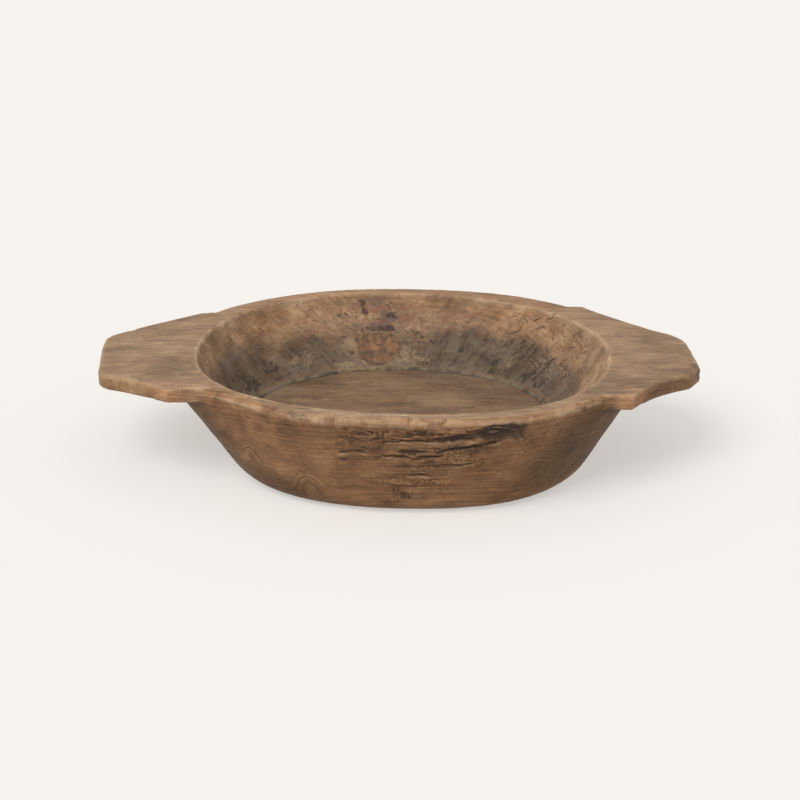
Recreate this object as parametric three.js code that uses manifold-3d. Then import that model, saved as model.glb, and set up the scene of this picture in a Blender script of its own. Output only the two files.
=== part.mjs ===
// A hand-carved wooden dough tray. One log is hollowed into an oval bowl, with an ear left at each end to
// lift it by. A few small pieces are let into it: a plug in a knot hole of the back wall, a patch and a knot
// in the front rim, and filler with a wooden shim in the corner where the wall meets the floor.
// Millimetres, +Z up, +X along the log, -Y to the front. The origin is under the middle, on the table.
import * as THREE from "three";
import { mergeVertices } from "three/addons/utils/BufferGeometryUtils.js";
import Module from "manifold-3d";

// Overall sizes
const LENGTH = 748; // ear tip to ear tip, along the log
const WIDTH = 474; // across the rim
const HEIGHT = 132; // rim above the table, at the middle of the log
const RIM_SAG = 8; // how far the ear tips lie below the middle of the rim

// Outer wall: an oval foot that flares to an oval rim
const END_FLARE = 86; // how far each end of the rim lies outside the foot
const SIDE_FLARE = 38; // how far each side of the rim lies outside the foot
const FOOT_SHIFT_X = 17; // the foot was hewn a little off the middle
const FOOT_SHIFT_Y = -7;
const FOOT_TURN = -3; // degrees about the vertical
const FOOT_SQUARENESS = 2.4; // 2 is a plain ellipse, more is fuller at the corners
const FOOT_ROUND = 17; // radius of the worn edge of the foot
const RIM_SHIFT_X = 8;
const RIM_TURN = -2;
const RIM_SQUARENESS = 2.2;
const RIM_ROUND = 8; // radius of the worn outer edge of the rim
const FLAT_RISE = 1.7; // how the flats below grow from the foot to the rim: 1 is evenly, more is late
const FLATS = [
  // where the outer wall was hewn in: degrees round the bowl, half spread in degrees, depth at the rim
  { bearing: 226, spread: 32, depth: 26 },
  { bearing: 318, spread: 22, depth: 9 },
];

// Hollow: an oval floor and a larger oval mouth, skewed against the log
const FLOOR_THICKNESS = 40;
const END_WALL_FOOT = 20; // from the edge of the foot to the edge of the floor
const SIDE_WALL_FOOT = 34;
const FLOOR_SHIFT_X = 2;
const FLOOR_SHIFT_Y = 4;
const FLOOR_SQUARENESS = 2.1;
const CORNER_ROUND = 4; // radius where the wall meets the floor
const END_RIM = 45; // width of the rim at each end, under the ears
const SIDE_RIM = 25; // width of the rim at the front and the back
const MOUTH_SHIFT_X = 7;
const MOUTH_TURN = -8; // degrees about the vertical
const MOUTH_SQUARENESS = 2.2;
const MOUTH_ROUND = 3.5; // radius of the worn inner edge of the rim
const WALL_HOLLOW = 6; // how far the middle of the inner wall bows outwards

// Ears: flat slabs in line with the rim. A shoulder is the corner where a side leaves the rim. A corner is
// placed back from the ear's tip, and across the log by its distance from the rim's side or from the axis.
const EAR_REACH = 71; // of the tip beyond the outer wall
const EAR_THICKNESS = 21;
const EAR_ROOT = 46; // how deep an ear runs into the wall
const LEFT_EAR = {
  edge: 3.5, // worn edge, as a chamfer
  backShoulder: { fromTip: 117, fromSide: 90 },
  backTip: { fromTip: 0.5, fromAxis: 64, round: 14 },
  crown: 22, // place of the tip itself across the log, positive to the back
  frontTip: { fromTip: 7, fromAxis: 69, round: 15 },
  frontShoulder: { fromTip: 96, fromSide: 110 },
  backBow: -2, // how far a side curves in
  frontBow: 3,
};
const RIGHT_EAR = {
  edge: 2,
  backShoulder: { fromTip: 128, fromSide: 70 },
  backTip: { fromTip: 7, fromAxis: 56, round: 22 },
  crown: -46,
  frontTip: { fromTip: 13, fromAxis: 70, round: 5 },
  frontShoulder: { fromTip: 92, fromSide: 88 },
  backBow: 5,
  frontBow: 8,
};

// Let-in pieces
const GAP = 0.3; // clearance of every let-in piece in its seat
const PLUG_WIDTH = 53;
const PLUG_HEIGHT = 40;
const PLUG_DEPTH = 13;
const PLUG_BEARING = 98.5; // degrees round the bowl from the right-hand ear, seen from above
const PLUG_RISE = 24; // middle of the plug above the floor
const PLUG_FILLER = 3; // width of the pitch round the plug
const PATCH_LENGTH = 86;
const PATCH_WIDTH = 15; // in from the outer edge of the rim
const PATCH_DEPTH = 10; // down from the top of the rim
const PATCH_BEARING = 265.5; // degrees round the bowl
const PATCH_FILLER = 2; // width of the filler behind the patch
const KNOT_LENGTH = 26;
const KNOT_WIDTH = 10;
const KNOT_DEPTH = 12;
const KNOT_SPACE = 4; // from the end of the patch to the knot, along the rim
const KNOT_INSET = 6.5; // middle of the knot, in from the outer edge of the rim
const BEAD_WIDTH = 5; // filler in the corner of the floor
const BEAD_HEIGHT = 3;
const SHIM_LENGTH = 66;
const SHIM_WIDTH = 3.5;
const SHIM_HEIGHT = 4.5;
const SHIM_BEARING = 104; // degrees round the bowl

// Fineness of the facets
const SEGMENTS = 88; // round the bowl
const ARC_STEPS = 4; // along a worn edge
const WALL_STEPS = 5; // up a wall
const CURVE_STEPS = 8; // along a curved side of an ear
const OVERCUT = 10; // how far a cutting tool runs past the wood

const wood = (color, roughness) => new THREE.MeshStandardMaterial({ color, roughness, metalness: 0 });
const FINISH = {
  log: wood(0x85613f, 0.68),
  plug: wood(0x8f5f3b, 0.75),
  pitch: wood(0x2b2a22, 0.6),
  patch: wood(0xa07a50, 0.65),
  filler: wood(0xb0a58c, 0.8),
  knot: wood(0x7a5836, 0.7),
  bead: wood(0x7f7263, 0.85),
  shim: wood(0x9a8a6b, 0.75),
};

const wasm = await Module();
wasm.setup();

// A closed geometry as a solid that can be joined and cut.
function solid(geometry) {
  const bare = geometry.clone();
  bare.deleteAttribute("normal");
  bare.deleteAttribute("uv");
  const merged = mergeVertices(bare, 1e-4);
  return new wasm.Manifold(
    new wasm.Mesh({
      numProp: 3,
      vertProperties: new Float32Array(merged.attributes.position.array),
      triVerts: new Uint32Array(merged.index.array),
    }),
  );
}

// An oval level of the bowl: middle, half axes, squareness, and turn in radians.
const oval = (x, y, length, width, squareness, turnDegrees) => ({
  x,
  y,
  a: length / 2,
  b: width / 2,
  squareness,
  turn: THREE.MathUtils.degToRad(turnDegrees),
});

// The oval a share of the way from one oval to another.
function between(from, to, share) {
  const mixed = {};
  for (const key of Object.keys(from)) mixed[key] = THREE.MathUtils.lerp(from[key], to[key], share);
  return mixed;
}

// The point of an oval at an angle, moved outwards by grow.
function onOval(level, angle, grow = 0) {
  const power = 2 / level.squareness;
  const c = Math.cos(angle);
  const s = Math.sin(angle);
  const u = (level.a + grow) * Math.sign(c) * Math.abs(c) ** power;
  const v = (level.b + grow) * Math.sign(s) * Math.abs(s) ** power;
  return new THREE.Vector2(u, v).rotateAround(new THREE.Vector2(), level.turn).add(level);
}

// Half the length of an oval, its turn left out, where it crosses a line across the log.
const reachAt = (level, across) =>
  level.a * (1 - Math.abs((across - level.y) / level.b) ** level.squareness) ** (1 / level.squareness);

// Lathe rings moved onto ovals: each profile row holds an oval, how far it is grown, and its height.
// An open profile is closed with a point in the middle of its first and last ring. hewn gives how far the
// rings are cut in at an angle and a height.
function ovalLathe(rows, closed = false, hewn = () => 0) {
  const middle = (row) => ({ ...row, pole: true });
  const profile = closed ? [...rows, rows[0]] : [middle(rows[0]), ...rows, middle(rows.at(-1))];
  const lathe = new THREE.LatheGeometry(
    profile.map((row, i) => new THREE.Vector2(row.pole ? 0 : 1 + i, row.z)),
    SEGMENTS,
  );
  const place = lathe.attributes.position;
  for (let i = 0; i < place.count; i += 1) {
    const row = profile[i % profile.length];
    const angle = ((Math.floor(i / profile.length) % SEGMENTS) * 2 * Math.PI) / SEGMENTS;
    const at = row.pole ? row.level : onOval(row.level, angle, row.grow - hewn(angle, row.z));
    place.setXYZ(i, at.x, at.y, row.z);
  }
  return solid(lathe);
}

// Outer wall
const rimLength = LENGTH - 2 * EAR_REACH;
const footLength = rimLength - 2 * END_FLARE;
const footWidth = WIDTH - 2 * SIDE_FLARE;
const rim = oval(RIM_SHIFT_X, 0, rimLength, WIDTH, RIM_SQUARENESS, RIM_TURN);
const foot = oval(FOOT_SHIFT_X, FOOT_SHIFT_Y, footLength, footWidth, FOOT_SQUARENESS, FOOT_TURN);
const shoulderHeight = HEIGHT - RIM_ROUND; // where the wall turns over into the rim
const outerAt = (z) => between(foot, rim, z / shoulderHeight);

// The quarter turns of a worn edge: shares of its radius, inwards and along.
const quarter = (steps) =>
  Array.from({ length: steps + 1 }, (_, i) => {
    const angle = (i / steps) * (Math.PI / 2);
    return { inwards: 1 - Math.sin(angle), along: 1 - Math.cos(angle) };
  });

// How far the flats cut into the outer wall.
function hewnIn(angle, z) {
  const rise = THREE.MathUtils.clamp((z - FOOT_ROUND) / (HEIGHT - FOOT_ROUND), 0, 1) ** FLAT_RISE;
  const depths = FLATS.map(({ bearing, spread, depth }) => {
    const away = Math.abs(THREE.MathUtils.radToDeg(angle) - bearing) / spread;
    return away < 1 ? depth * Math.cos((away * Math.PI) / 2) ** 2 : 0;
  });
  return rise * Math.max(...depths);
}

function outerBody() {
  const rows = quarter(ARC_STEPS).map(({ inwards, along }) => {
    const z = FOOT_ROUND * along;
    return { level: outerAt(z), grow: -FOOT_ROUND * inwards, z };
  });
  for (let i = 1; i <= WALL_STEPS; i += 1) {
    const z = THREE.MathUtils.lerp(FOOT_ROUND, shoulderHeight, i / WALL_STEPS);
    rows.push({ level: outerAt(z), grow: 0, z });
  }
  for (const { inwards, along } of quarter(ARC_STEPS).slice(1)) {
    rows.push({ level: rim, grow: -RIM_ROUND * along, z: HEIGHT - RIM_ROUND * inwards });
  }
  return ovalLathe(rows, false, hewnIn);
}

// Hollow
const floorLength = footLength - 2 * END_WALL_FOOT;
const floorWidth = footWidth - 2 * SIDE_WALL_FOOT;
const mouthLength = rimLength - 2 * END_RIM;
const mouthWidth = WIDTH - 2 * SIDE_RIM;
const floor = oval(FLOOR_SHIFT_X, FLOOR_SHIFT_Y, floorLength, floorWidth, FLOOR_SQUARENESS, 0);
const mouth = oval(MOUTH_SHIFT_X, 0, mouthLength, mouthWidth, MOUTH_SQUARENESS, MOUTH_TURN);
const innerShare = (z) => (z - FLOOR_THICKNESS) / (HEIGHT - FLOOR_THICKNESS);
const innerAt = (z) => between(floor, mouth, innerShare(z));
const innerBow = (z) => WALL_HOLLOW * Math.sin(Math.PI * THREE.MathUtils.clamp(innerShare(z), 0, 1));

function hollow() {
  const rows = quarter(ARC_STEPS).map(({ inwards, along }) => {
    const z = FLOOR_THICKNESS + CORNER_ROUND * along;
    return { level: innerAt(z), grow: innerBow(z) - CORNER_ROUND * inwards, z };
  });
  const low = FLOOR_THICKNESS + CORNER_ROUND;
  const high = HEIGHT - MOUTH_ROUND;
  for (let i = 1; i <= WALL_STEPS; i += 1) {
    const z = THREE.MathUtils.lerp(low, high, i / WALL_STEPS);
    rows.push({ level: innerAt(z), grow: innerBow(z), z });
  }
  for (const { inwards, along } of quarter(ARC_STEPS).slice(1)) {
    const z = HEIGHT - MOUTH_ROUND * inwards;
    rows.push({ level: innerAt(z), grow: innerBow(z) + MOUTH_ROUND * along, z });
  }
  rows.push({ ...rows.at(-1), z: HEIGHT + OVERCUT });
  return ovalLathe(rows);
}

// A closed outline whose corners are rounded and whose sides may bow in towards its middle.
function outline(corners) {
  const at = corners.map((corner) => new THREE.Vector2(...corner.at));
  const shape = new THREE.Shape();
  corners.forEach((corner, i) => {
    const here = at[i];
    const next = at[(i + 1) % at.length];
    const before = at.at(i - 1);
    const round = corner.round ?? 0;
    const arrive = here.clone().add(before.clone().sub(here).setLength(round));
    const leave = here.clone().add(next.clone().sub(here).setLength(round));
    if (i === 0) shape.moveTo(arrive.x, arrive.y);
    if (round > 0) shape.quadraticCurveTo(here.x, here.y, leave.x, leave.y);
    const nextRound = corners[(i + 1) % corners.length].round ?? 0;
    const end = next.clone().add(here.clone().sub(next).setLength(nextRound));
    const side = end.clone().sub(leave);
    const bend = leave.clone().lerp(end, 0.5);
    bend.add(new THREE.Vector2(-side.y, side.x).setLength(2 * (corner.bow ?? 0)));
    if (corner.bow) shape.quadraticCurveTo(bend.x, bend.y, end.x, end.y);
    else shape.lineTo(end.x, end.y);
  });
  return shape;
}

// One ear as a slab in line with the rim. side is 1 for the right-hand ear and -1 for the left-hand one.
function ear(side, sizes) {
  const { edge, backShoulder, backTip, crown, frontTip, frontShoulder, backBow, frontBow } = sizes;
  const tip = LENGTH / 2;
  const front = frontShoulder.fromSide - WIDTH / 2;
  const back = WIDTH / 2 - backShoulder.fromSide;
  const root = (across) => side * rim.x + reachAt(rim, across) - EAR_ROOT;
  const corners = [
    { at: [root(front), front] },
    { at: [tip - frontShoulder.fromTip, front], bow: frontBow },
    { at: [tip - frontTip.fromTip, -frontTip.fromAxis], round: frontTip.round },
    { at: [tip, crown] },
    { at: [tip - backTip.fromTip, backTip.fromAxis], round: backTip.round, bow: backBow },
    { at: [tip - backShoulder.fromTip, back] },
    { at: [root(back), back] },
  ];
  const slab = new THREE.ExtrudeGeometry(outline(corners), {
    depth: EAR_THICKNESS - 2 * edge,
    curveSegments: CURVE_STEPS,
    bevelThickness: edge,
    bevelSize: edge,
    bevelOffset: -edge,
    bevelSegments: 2,
  });
  slab.translate(0, 0, HEIGHT - EAR_THICKNESS + edge);
  const made = solid(slab);
  return side > 0 ? made : made.mirror([1, 0, 0]);
}

const log = outerBody().add(ear(-1, LEFT_EAR)).add(ear(1, RIGHT_EAR)).subtract(hollow());

// A prism that stands in a frame of its own, from the given depth below it to a height above it.
function prism(shape, depth, frame, above = OVERCUT) {
  const made = new THREE.ExtrudeGeometry(shape, {
    depth: depth + above,
    curveSegments: SEGMENTS / 4,
    bevelEnabled: false,
  });
  return solid(made.translate(0, 0, -depth).applyMatrix4(frame));
}

const ellipse = (width, height) => new THREE.Shape().absellipse(0, 0, width / 2, height / 2, 0, 2 * Math.PI);

function rectangle(x0, y0, x1, y1) {
  return new THREE.Shape([
    new THREE.Vector2(x0, y0),
    new THREE.Vector2(x1, y0),
    new THREE.Vector2(x1, y1),
    new THREE.Vector2(x0, y1),
  ]);
}

const radians = (degrees) => THREE.MathUtils.degToRad(degrees);

// A point on the inner wall, or below it on the line of the wall's foot.
function onInnerWall(angle, z) {
  const at = onOval(innerAt(z), angle, innerBow(z));
  return new THREE.Vector3(at.x, at.y, z);
}

// A frame on the inner wall: X along the wall, Y up it, and Z out of the wood.
function wallFrame(bearing, z) {
  const angle = radians(bearing);
  const step = 0.01;
  const middle = onInnerWall(angle, z);
  const along = onInnerWall(angle - step, z).sub(middle).normalize();
  const up = onInnerWall(angle, z + 1).sub(middle).normalize();
  const out = along.clone().cross(up).normalize();
  return new THREE.Matrix4().makeBasis(along, out.clone().cross(along), out).setPosition(middle);
}

// A frame on the rim's outer edge: X along the edge, Y in towards the bowl, and Z up.
function rimFrame(bearing) {
  const angle = radians(bearing);
  const step = 0.01;
  const at = onOval(rim, angle);
  const along = onOval(rim, angle + step).sub(at).normalize();
  const x = new THREE.Vector3(along.x, along.y, 0);
  const up = new THREE.Vector3(0, 0, 1);
  return new THREE.Matrix4()
    .makeBasis(x, up.clone().cross(x), up)
    .setPosition(at.x, at.y, HEIGHT);
}

// Plug in a knot hole of the back wall, with pitch round it
const plugSeat = wallFrame(PLUG_BEARING, FLOOR_THICKNESS + PLUG_RISE);
const plugPrism = (grow, depth) =>
  prism(ellipse(PLUG_WIDTH + 2 * grow, PLUG_HEIGHT + 2 * grow), depth, plugSeat);
const plug = plugPrism(0, PLUG_DEPTH).intersect(log);
const plugFiller = plugPrism(GAP + PLUG_FILLER, PLUG_DEPTH)
  .subtract(plugPrism(GAP, PLUG_DEPTH + OVERCUT))
  .intersect(log);
const plugHole = plugPrism(2 * GAP + PLUG_FILLER, PLUG_DEPTH + GAP);

// Patch in the outer edge of the front rim, with filler behind it
const patchSeat = rimFrame(PATCH_BEARING);
const patchPrism = (grow, behind, depth) =>
  prism(
    rectangle(-PATCH_LENGTH / 2 - grow, -OVERCUT, PATCH_LENGTH / 2 + grow, behind),
    depth,
    patchSeat,
  );
const patchFillerBack = PATCH_WIDTH + GAP + PATCH_FILLER;
const patch = patchPrism(0, PATCH_WIDTH, PATCH_DEPTH).intersect(log);
const patchFiller = patchPrism(0, patchFillerBack, PATCH_DEPTH)
  .subtract(patchPrism(OVERCUT, PATCH_WIDTH + GAP, PATCH_DEPTH + OVERCUT))
  .intersect(log);
const patchHole = patchPrism(GAP, patchFillerBack + GAP, PATCH_DEPTH + GAP);

// Knot in the outer edge of the front rim
const knotOffset = PATCH_LENGTH / 2 + KNOT_SPACE + KNOT_LENGTH / 2;
const knotBearing = PATCH_BEARING + THREE.MathUtils.radToDeg(knotOffset / rim.a);
const knotSeat = rimFrame(knotBearing).multiply(new THREE.Matrix4().makeTranslation(0, KNOT_INSET, 0));
const knotPrism = (grow, depth) =>
  prism(ellipse(KNOT_LENGTH + 2 * grow, KNOT_WIDTH + 2 * grow), depth, knotSeat);
const knot = knotPrism(0, KNOT_DEPTH).intersect(log);
const knotHole = knotPrism(GAP, KNOT_DEPTH + GAP);

// A strip that lies in the corner of the floor, all the way round, with a worn top edge.
function cornerStrip(width, height) {
  const near = -CORNER_ROUND - GAP;
  const low = FLOOR_THICKNESS + GAP;
  const section = [
    [near, 0],
    [near, 0.7],
    [near - width / 4, 1],
    [near - width / 2, 0.9],
    [near - width, 0],
  ];
  const rows = section.map(([grow, share]) => ({ level: floor, grow, z: low + share * height }));
  return ovalLathe(rows, true);
}

// The stretch of the corner that the shim fills, as a block in a frame on the foot of the wall.
const shimSeat = wallFrame(SHIM_BEARING, FLOOR_THICKNESS);
const shimBlock = (grow) => {
  const half = SHIM_LENGTH / 2 + grow;
  const reach = OVERCUT + BEAD_WIDTH + SHIM_WIDTH + SHIM_HEIGHT;
  return prism(rectangle(-half, -reach, half, reach), reach, shimSeat, reach);
};
const shim = cornerStrip(SHIM_WIDTH, SHIM_HEIGHT).intersect(shimBlock(0));
const bead = cornerStrip(BEAD_WIDTH, BEAD_HEIGHT).subtract(shimBlock(GAP));

const bowl = log.subtract(plugHole).subtract(patchHole).subtract(knotHole);

// The sag of the rim towards the ear tips, which leaves the floor and the foot flat.
function sag(x, z) {
  const lift = THREE.MathUtils.clamp(innerShare(z), 0, 1);
  return RIM_SAG * lift * (x / (LENGTH / 2)) ** 2;
}

// A named mesh of a solid, with the sag of the log put in.
function piece(name, made, material) {
  const { vertProperties, triVerts } = made.getMesh();
  const place = new Float32Array(vertProperties);
  for (let i = 0; i < place.length; i += 3) place[i + 2] -= sag(place[i], place[i + 2]);
  const geometry = new THREE.BufferGeometry();
  geometry.setAttribute("position", new THREE.BufferAttribute(place, 3));
  geometry.setIndex(new THREE.BufferAttribute(new Uint32Array(triVerts), 1));
  geometry.computeVertexNormals();
  const mesh = new THREE.Mesh(geometry, material);
  mesh.name = name;
  return mesh;
}

const tray = new THREE.Group();
tray.add(
  piece("carved_bowl", bowl, FINISH.log),
  piece("wall_knot_plug", plug, FINISH.plug),
  piece("wall_plug_pitch", plugFiller, FINISH.pitch),
  piece("rim_patch", patch, FINISH.patch),
  piece("rim_patch_filler", patchFiller, FINISH.filler),
  piece("rim_knot", knot, FINISH.knot),
  piece("floor_corner_filler", bead, FINISH.bead),
  piece("floor_corner_shim", shim, FINISH.shim),
);

export default tray;
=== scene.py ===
"""The looks of a hand-carved dough tray: one hollowed log with two ears, and the pieces let into it."""

import itertools
import logging
import math
from dataclasses import astuple, dataclass, field
from enum import Enum
from typing import Optional, Sequence, Union

import bmesh
import bpy
import numpy as np
from mathutils import Matrix, Vector, kdtree
from mathutils.bvhtree import BVHTree


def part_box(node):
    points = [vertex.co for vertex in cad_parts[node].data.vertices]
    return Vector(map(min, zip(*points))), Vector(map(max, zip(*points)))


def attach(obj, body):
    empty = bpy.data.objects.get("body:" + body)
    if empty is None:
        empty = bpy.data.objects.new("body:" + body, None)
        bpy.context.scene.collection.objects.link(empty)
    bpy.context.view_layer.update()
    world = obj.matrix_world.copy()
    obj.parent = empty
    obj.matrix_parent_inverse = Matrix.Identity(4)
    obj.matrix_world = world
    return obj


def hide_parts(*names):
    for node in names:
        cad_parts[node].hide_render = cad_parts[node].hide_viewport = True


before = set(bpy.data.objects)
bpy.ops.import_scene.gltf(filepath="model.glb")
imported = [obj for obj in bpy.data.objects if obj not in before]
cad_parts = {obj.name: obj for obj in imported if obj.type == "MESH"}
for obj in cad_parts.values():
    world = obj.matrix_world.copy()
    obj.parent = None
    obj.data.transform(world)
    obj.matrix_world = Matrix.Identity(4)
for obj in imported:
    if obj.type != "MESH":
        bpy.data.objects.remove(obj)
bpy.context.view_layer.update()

BODY = "root"
MM = 0.001
TINY = 1e-9
MERGE_DISTANCE = 1e-6
SHARP_ANGLE = math.radians(50)
LOG = logging.getLogger("dough_tray")

Colour = tuple[float, float, float]
Number = Union[int, float]


def srgb(red: int, green: int, blue: int) -> Colour:
    """Turns a colour of 0 to 255 as a screen shows it into linear light.

    Args:
        red: Red, 0 to 255.
        green: Green, 0 to 255.
        blue: Blue, 0 to 255.

    Returns:
        The linear colour.
    """
    shares = (red / 255, green / 255, blue / 255)
    return tuple(s / 12.92 if s <= 0.04045 else ((s + 0.055) / 1.055) ** 2.4 for s in shares)


def ease(values: np.ndarray, low: float, high: float) -> np.ndarray:
    """A smooth step from 0 at low to 1 at high.

    Args:
        values: What to step on.
        low: Where the step starts.
        high: Where it ends, which may lie below low for a falling step.

    Returns:
        The steps, 0 to 1.
    """
    share = np.clip((values - low) / (high - low), 0.0, 1.0)
    return share * share * (3.0 - 2.0 * share)


class Wire:
    """A shader socket that takes part in Python arithmetic."""

    def __init__(self, graph: "Graph", socket: bpy.types.NodeSocket) -> None:
        """Keeps the socket and the graph that its nodes go into."""
        self.graph = graph
        self.socket = socket

    def __add__(self, other: "Value") -> "Wire":
        """This plus the other."""
        return self.graph.math("ADD", self, other)

    __radd__ = __add__

    def __sub__(self, other: "Value") -> "Wire":
        """This less the other."""
        return self.graph.math("SUBTRACT", self, other)

    def __rsub__(self, other: "Value") -> "Wire":
        """The other less this."""
        return self.graph.math("SUBTRACT", other, self)

    def __mul__(self, other: "Value") -> "Wire":
        """This times the other."""
        return self.graph.math("MULTIPLY", self, other)

    __rmul__ = __mul__

    def __truediv__(self, other: "Value") -> "Wire":
        """This over the other."""
        return self.graph.math("DIVIDE", self, other)

    def __pow__(self, other: "Value") -> "Wire":
        """This to the power of the other."""
        return self.graph.math("POWER", self, other)

    def step(self, low: float, high: float) -> "Wire":
        """A smooth step from 0 at low to 1 at high.

        Args:
            low: Where the step starts.
            high: Where it ends, which may lie below low for a falling step.

        Returns:
            The wire of the step.
        """
        rising = low < high
        ends = (low, high) if rising else (high, low)
        values = {"Value": self, "From Min": ends[0], "From Max": ends[1]}
        stepped = self.graph.node("ShaderNodeMapRange", {"interpolation_type": "SMOOTHSTEP"}, values)
        return stepped if rising else 1 - stepped


Value = Union[Wire, Number, Sequence[float]]


class Graph:
    """The shader nodes of one material or of the world."""

    def __init__(self, owner: Union[bpy.types.Material, bpy.types.World]) -> None:
        """Empties the owner's nodes and starts on new ones.

        Args:
            owner: The material or the world.
        """
        owner.use_nodes = True
        self.owner = owner
        self.tree = owner.node_tree
        self.tree.nodes.clear()
        self._place: Optional[Wire] = None

    @property
    def place(self) -> Wire:
        """The point on the surface, in the object's own metres.

        Returns:
            The wire of the point, from one node that every texture shares.
        """
        if self._place is None:
            self._place = self.node("ShaderNodeTexCoord", output="Object")
        return self._place

    def node(
        self,
        kind: str,
        settings: Optional[dict] = None,
        inputs: Optional[dict] = None,
        output: Union[int, str] = 0,
    ) -> Wire:
        """Adds a node.

        Args:
            kind: The node's type.
            settings: Its properties, set first. stops gives a ramp's places and colours.
            inputs: Values or wires by socket name, identifier or number.
            output: The socket to give back, by identifier, name or number.

        Returns:
            The wire of that output.
        """
        made = self.tree.nodes.new(kind)
        for name, value in (settings or {}).items():
            if name == "stops":
                self._set_stops(made.color_ramp, value)
            else:
                setattr(made, name, value)
        for key, value in (inputs or {}).items():
            self._feed(self._socket(made.inputs, key), value)
        return Wire(self, self._socket(made.outputs, output))

    def end(self, kind: str, shader: Wire) -> None:
        """Adds the output node and links the finished shader to it."""
        made = self.tree.nodes.new(kind)
        self.tree.links.new(shader.socket, made.inputs["Surface"])

    def _feed(self, socket: bpy.types.NodeSocket, value: Value) -> None:
        """Links a wire to a socket, or sets its value.

        Args:
            socket: The socket to feed.
            value: A wire or a value. A colour takes one number as a grey, and three as opaque.
        """
        if isinstance(value, Wire):
            self.tree.links.new(value.socket, socket)
        elif not hasattr(socket.default_value, "__len__"):
            socket.default_value = value
        else:
            size = len(socket.default_value)
            numbers = (value,) * 3 if isinstance(value, (int, float)) else tuple(value)
            socket.default_value = (numbers + (1.0,) * size)[:size]

    @staticmethod
    def _set_stops(ramp: bpy.types.ColorRamp, stops: Sequence[tuple[float, Colour]]) -> None:
        """Gives a colour ramp its stops.

        Args:
            ramp: The ramp of a new node.
            stops: Places, 0 to 1, with their colours.
        """
        while len(ramp.elements) < len(stops):
            ramp.elements.new(0.5)
        for element, (place, colour) in zip(ramp.elements, stops):
            element.position = place
            element.color = (*colour, 1.0)

    @staticmethod
    def _socket(sockets: bpy.types.bpy_prop_collection, key: Union[int, str]) -> bpy.types.NodeSocket:
        """Finds a socket.

        Args:
            sockets: A node's inputs or outputs.
            key: The socket's number, identifier or name.

        Returns:
            The socket.
        """
        if isinstance(key, int):
            return sockets[key]
        for socket in sockets:
            if socket.identifier == key:
                return socket
        return sockets[key]

    def math(self, operation: str, *values: Value) -> Wire:
        """One Math node on values and wires."""
        return self.node("ShaderNodeMath", {"operation": operation}, dict(enumerate(values)))

    def vector(self, operation: str, *values: Value, output: Union[int, str] = 0) -> Wire:
        """One Vector Math node on vectors and wires."""
        return self.node("ShaderNodeVectorMath", {"operation": operation}, dict(enumerate(values)), output)

    def axis(self, number: int) -> Wire:
        """One coordinate of the place: 0, 1 or 2."""
        return self.node("ShaderNodeSeparateXYZ", None, {"Vector": self.place}, number)

    def attribute(self, name: str, output: str = "Fac") -> Wire:
        """A number, or a vector, that the mesh holds at its vertices."""
        return self.node("ShaderNodeAttribute", {"attribute_name": name}, None, output)

    def stretched(self, scale: Value, shift: Value = (0, 0, 0), where: Optional[Wire] = None) -> Wire:
        """The place, or another vector, scaled along each axis and shifted."""
        return self.vector("MULTIPLY_ADD", where or self.place, scale, shift)

    def noise(
        self,
        scale: Value,
        detail: float = 2.0,
        roughness: float = 0.5,
        shift: Value = (0, 0, 0),
        where: Optional[Wire] = None,
    ) -> Wire:
        """Noise over the place, about 0 to 1.

        Args:
            scale: Repeats per metre along each axis.
            detail: How many finer layers it has.
            roughness: How strong those layers are.
            shift: Where in the noise to start.
            where: Another vector to take it over.

        Returns:
            The wire of the noise.
        """
        values = {
            "Vector": self.stretched(scale, shift, where),
            "Scale": 1.0,
            "Detail": detail,
            "Roughness": roughness,
        }
        return self.node("ShaderNodeTexNoise", None, values)

    def cells(self, where: Wire, feature: str = "F1", output: str = "Distance") -> Wire:
        """Random cells over a vector: the distance to the nearest middle, or the cell's own colour."""
        values = {"Vector": where, "Scale": 1.0}
        return self.node("ShaderNodeTexVoronoi", {"feature": feature}, values, output)

    def mix(self, first: Value, second: Value, share: Value, blend: str = "MIX") -> Wire:
        """A colour between two colours, or one blended over the other.

        Args:
            first: The colour below.
            second: The colour laid over it.
            share: How much of it shows, held to 0 to 1.
            blend: How it is laid on: MIX or MULTIPLY.

        Returns:
            The wire of the colour.
        """
        settings = {"data_type": "RGBA", "blend_type": blend, "clamp_factor": True}
        values = {"A_Color": first, "B_Color": second, "Factor_Float": share}
        return self.node("ShaderNodeMix", settings, values, "Result_Color")

    def ramp(self, value: Wire, *stops: tuple[float, Colour]) -> Wire:
        """A colour looked up along a row of stops."""
        return self.node("ShaderNodeValToRGB", {"stops": stops}, {"Fac": value}, "Color")

    def bump(self, height: Wire, depth: float) -> Wire:
        """A normal from a height of 0 to 1 that stands for a depth in metres."""
        return self.node("ShaderNodeBump", None, {"Height": height, "Strength": 1.0, "Distance": depth})

    def surface(self, colour: Value, roughness: Value, normal: Wire, gloss: float) -> None:
        """Ends a material in one Principled shader.

        Args:
            colour: Its base colour.
            roughness: How dull it is.
            normal: Its bumps.
            gloss: How strongly it mirrors, 0.5 for common varnish.
        """
        values = {
            "Base Color": colour,
            "Roughness": roughness,
            "Specular IOR Level": gloss,
            "Normal": normal,
        }
        self.end("ShaderNodeOutputMaterial", self.node("ShaderNodeBsdfPrincipled", None, values))


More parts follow.
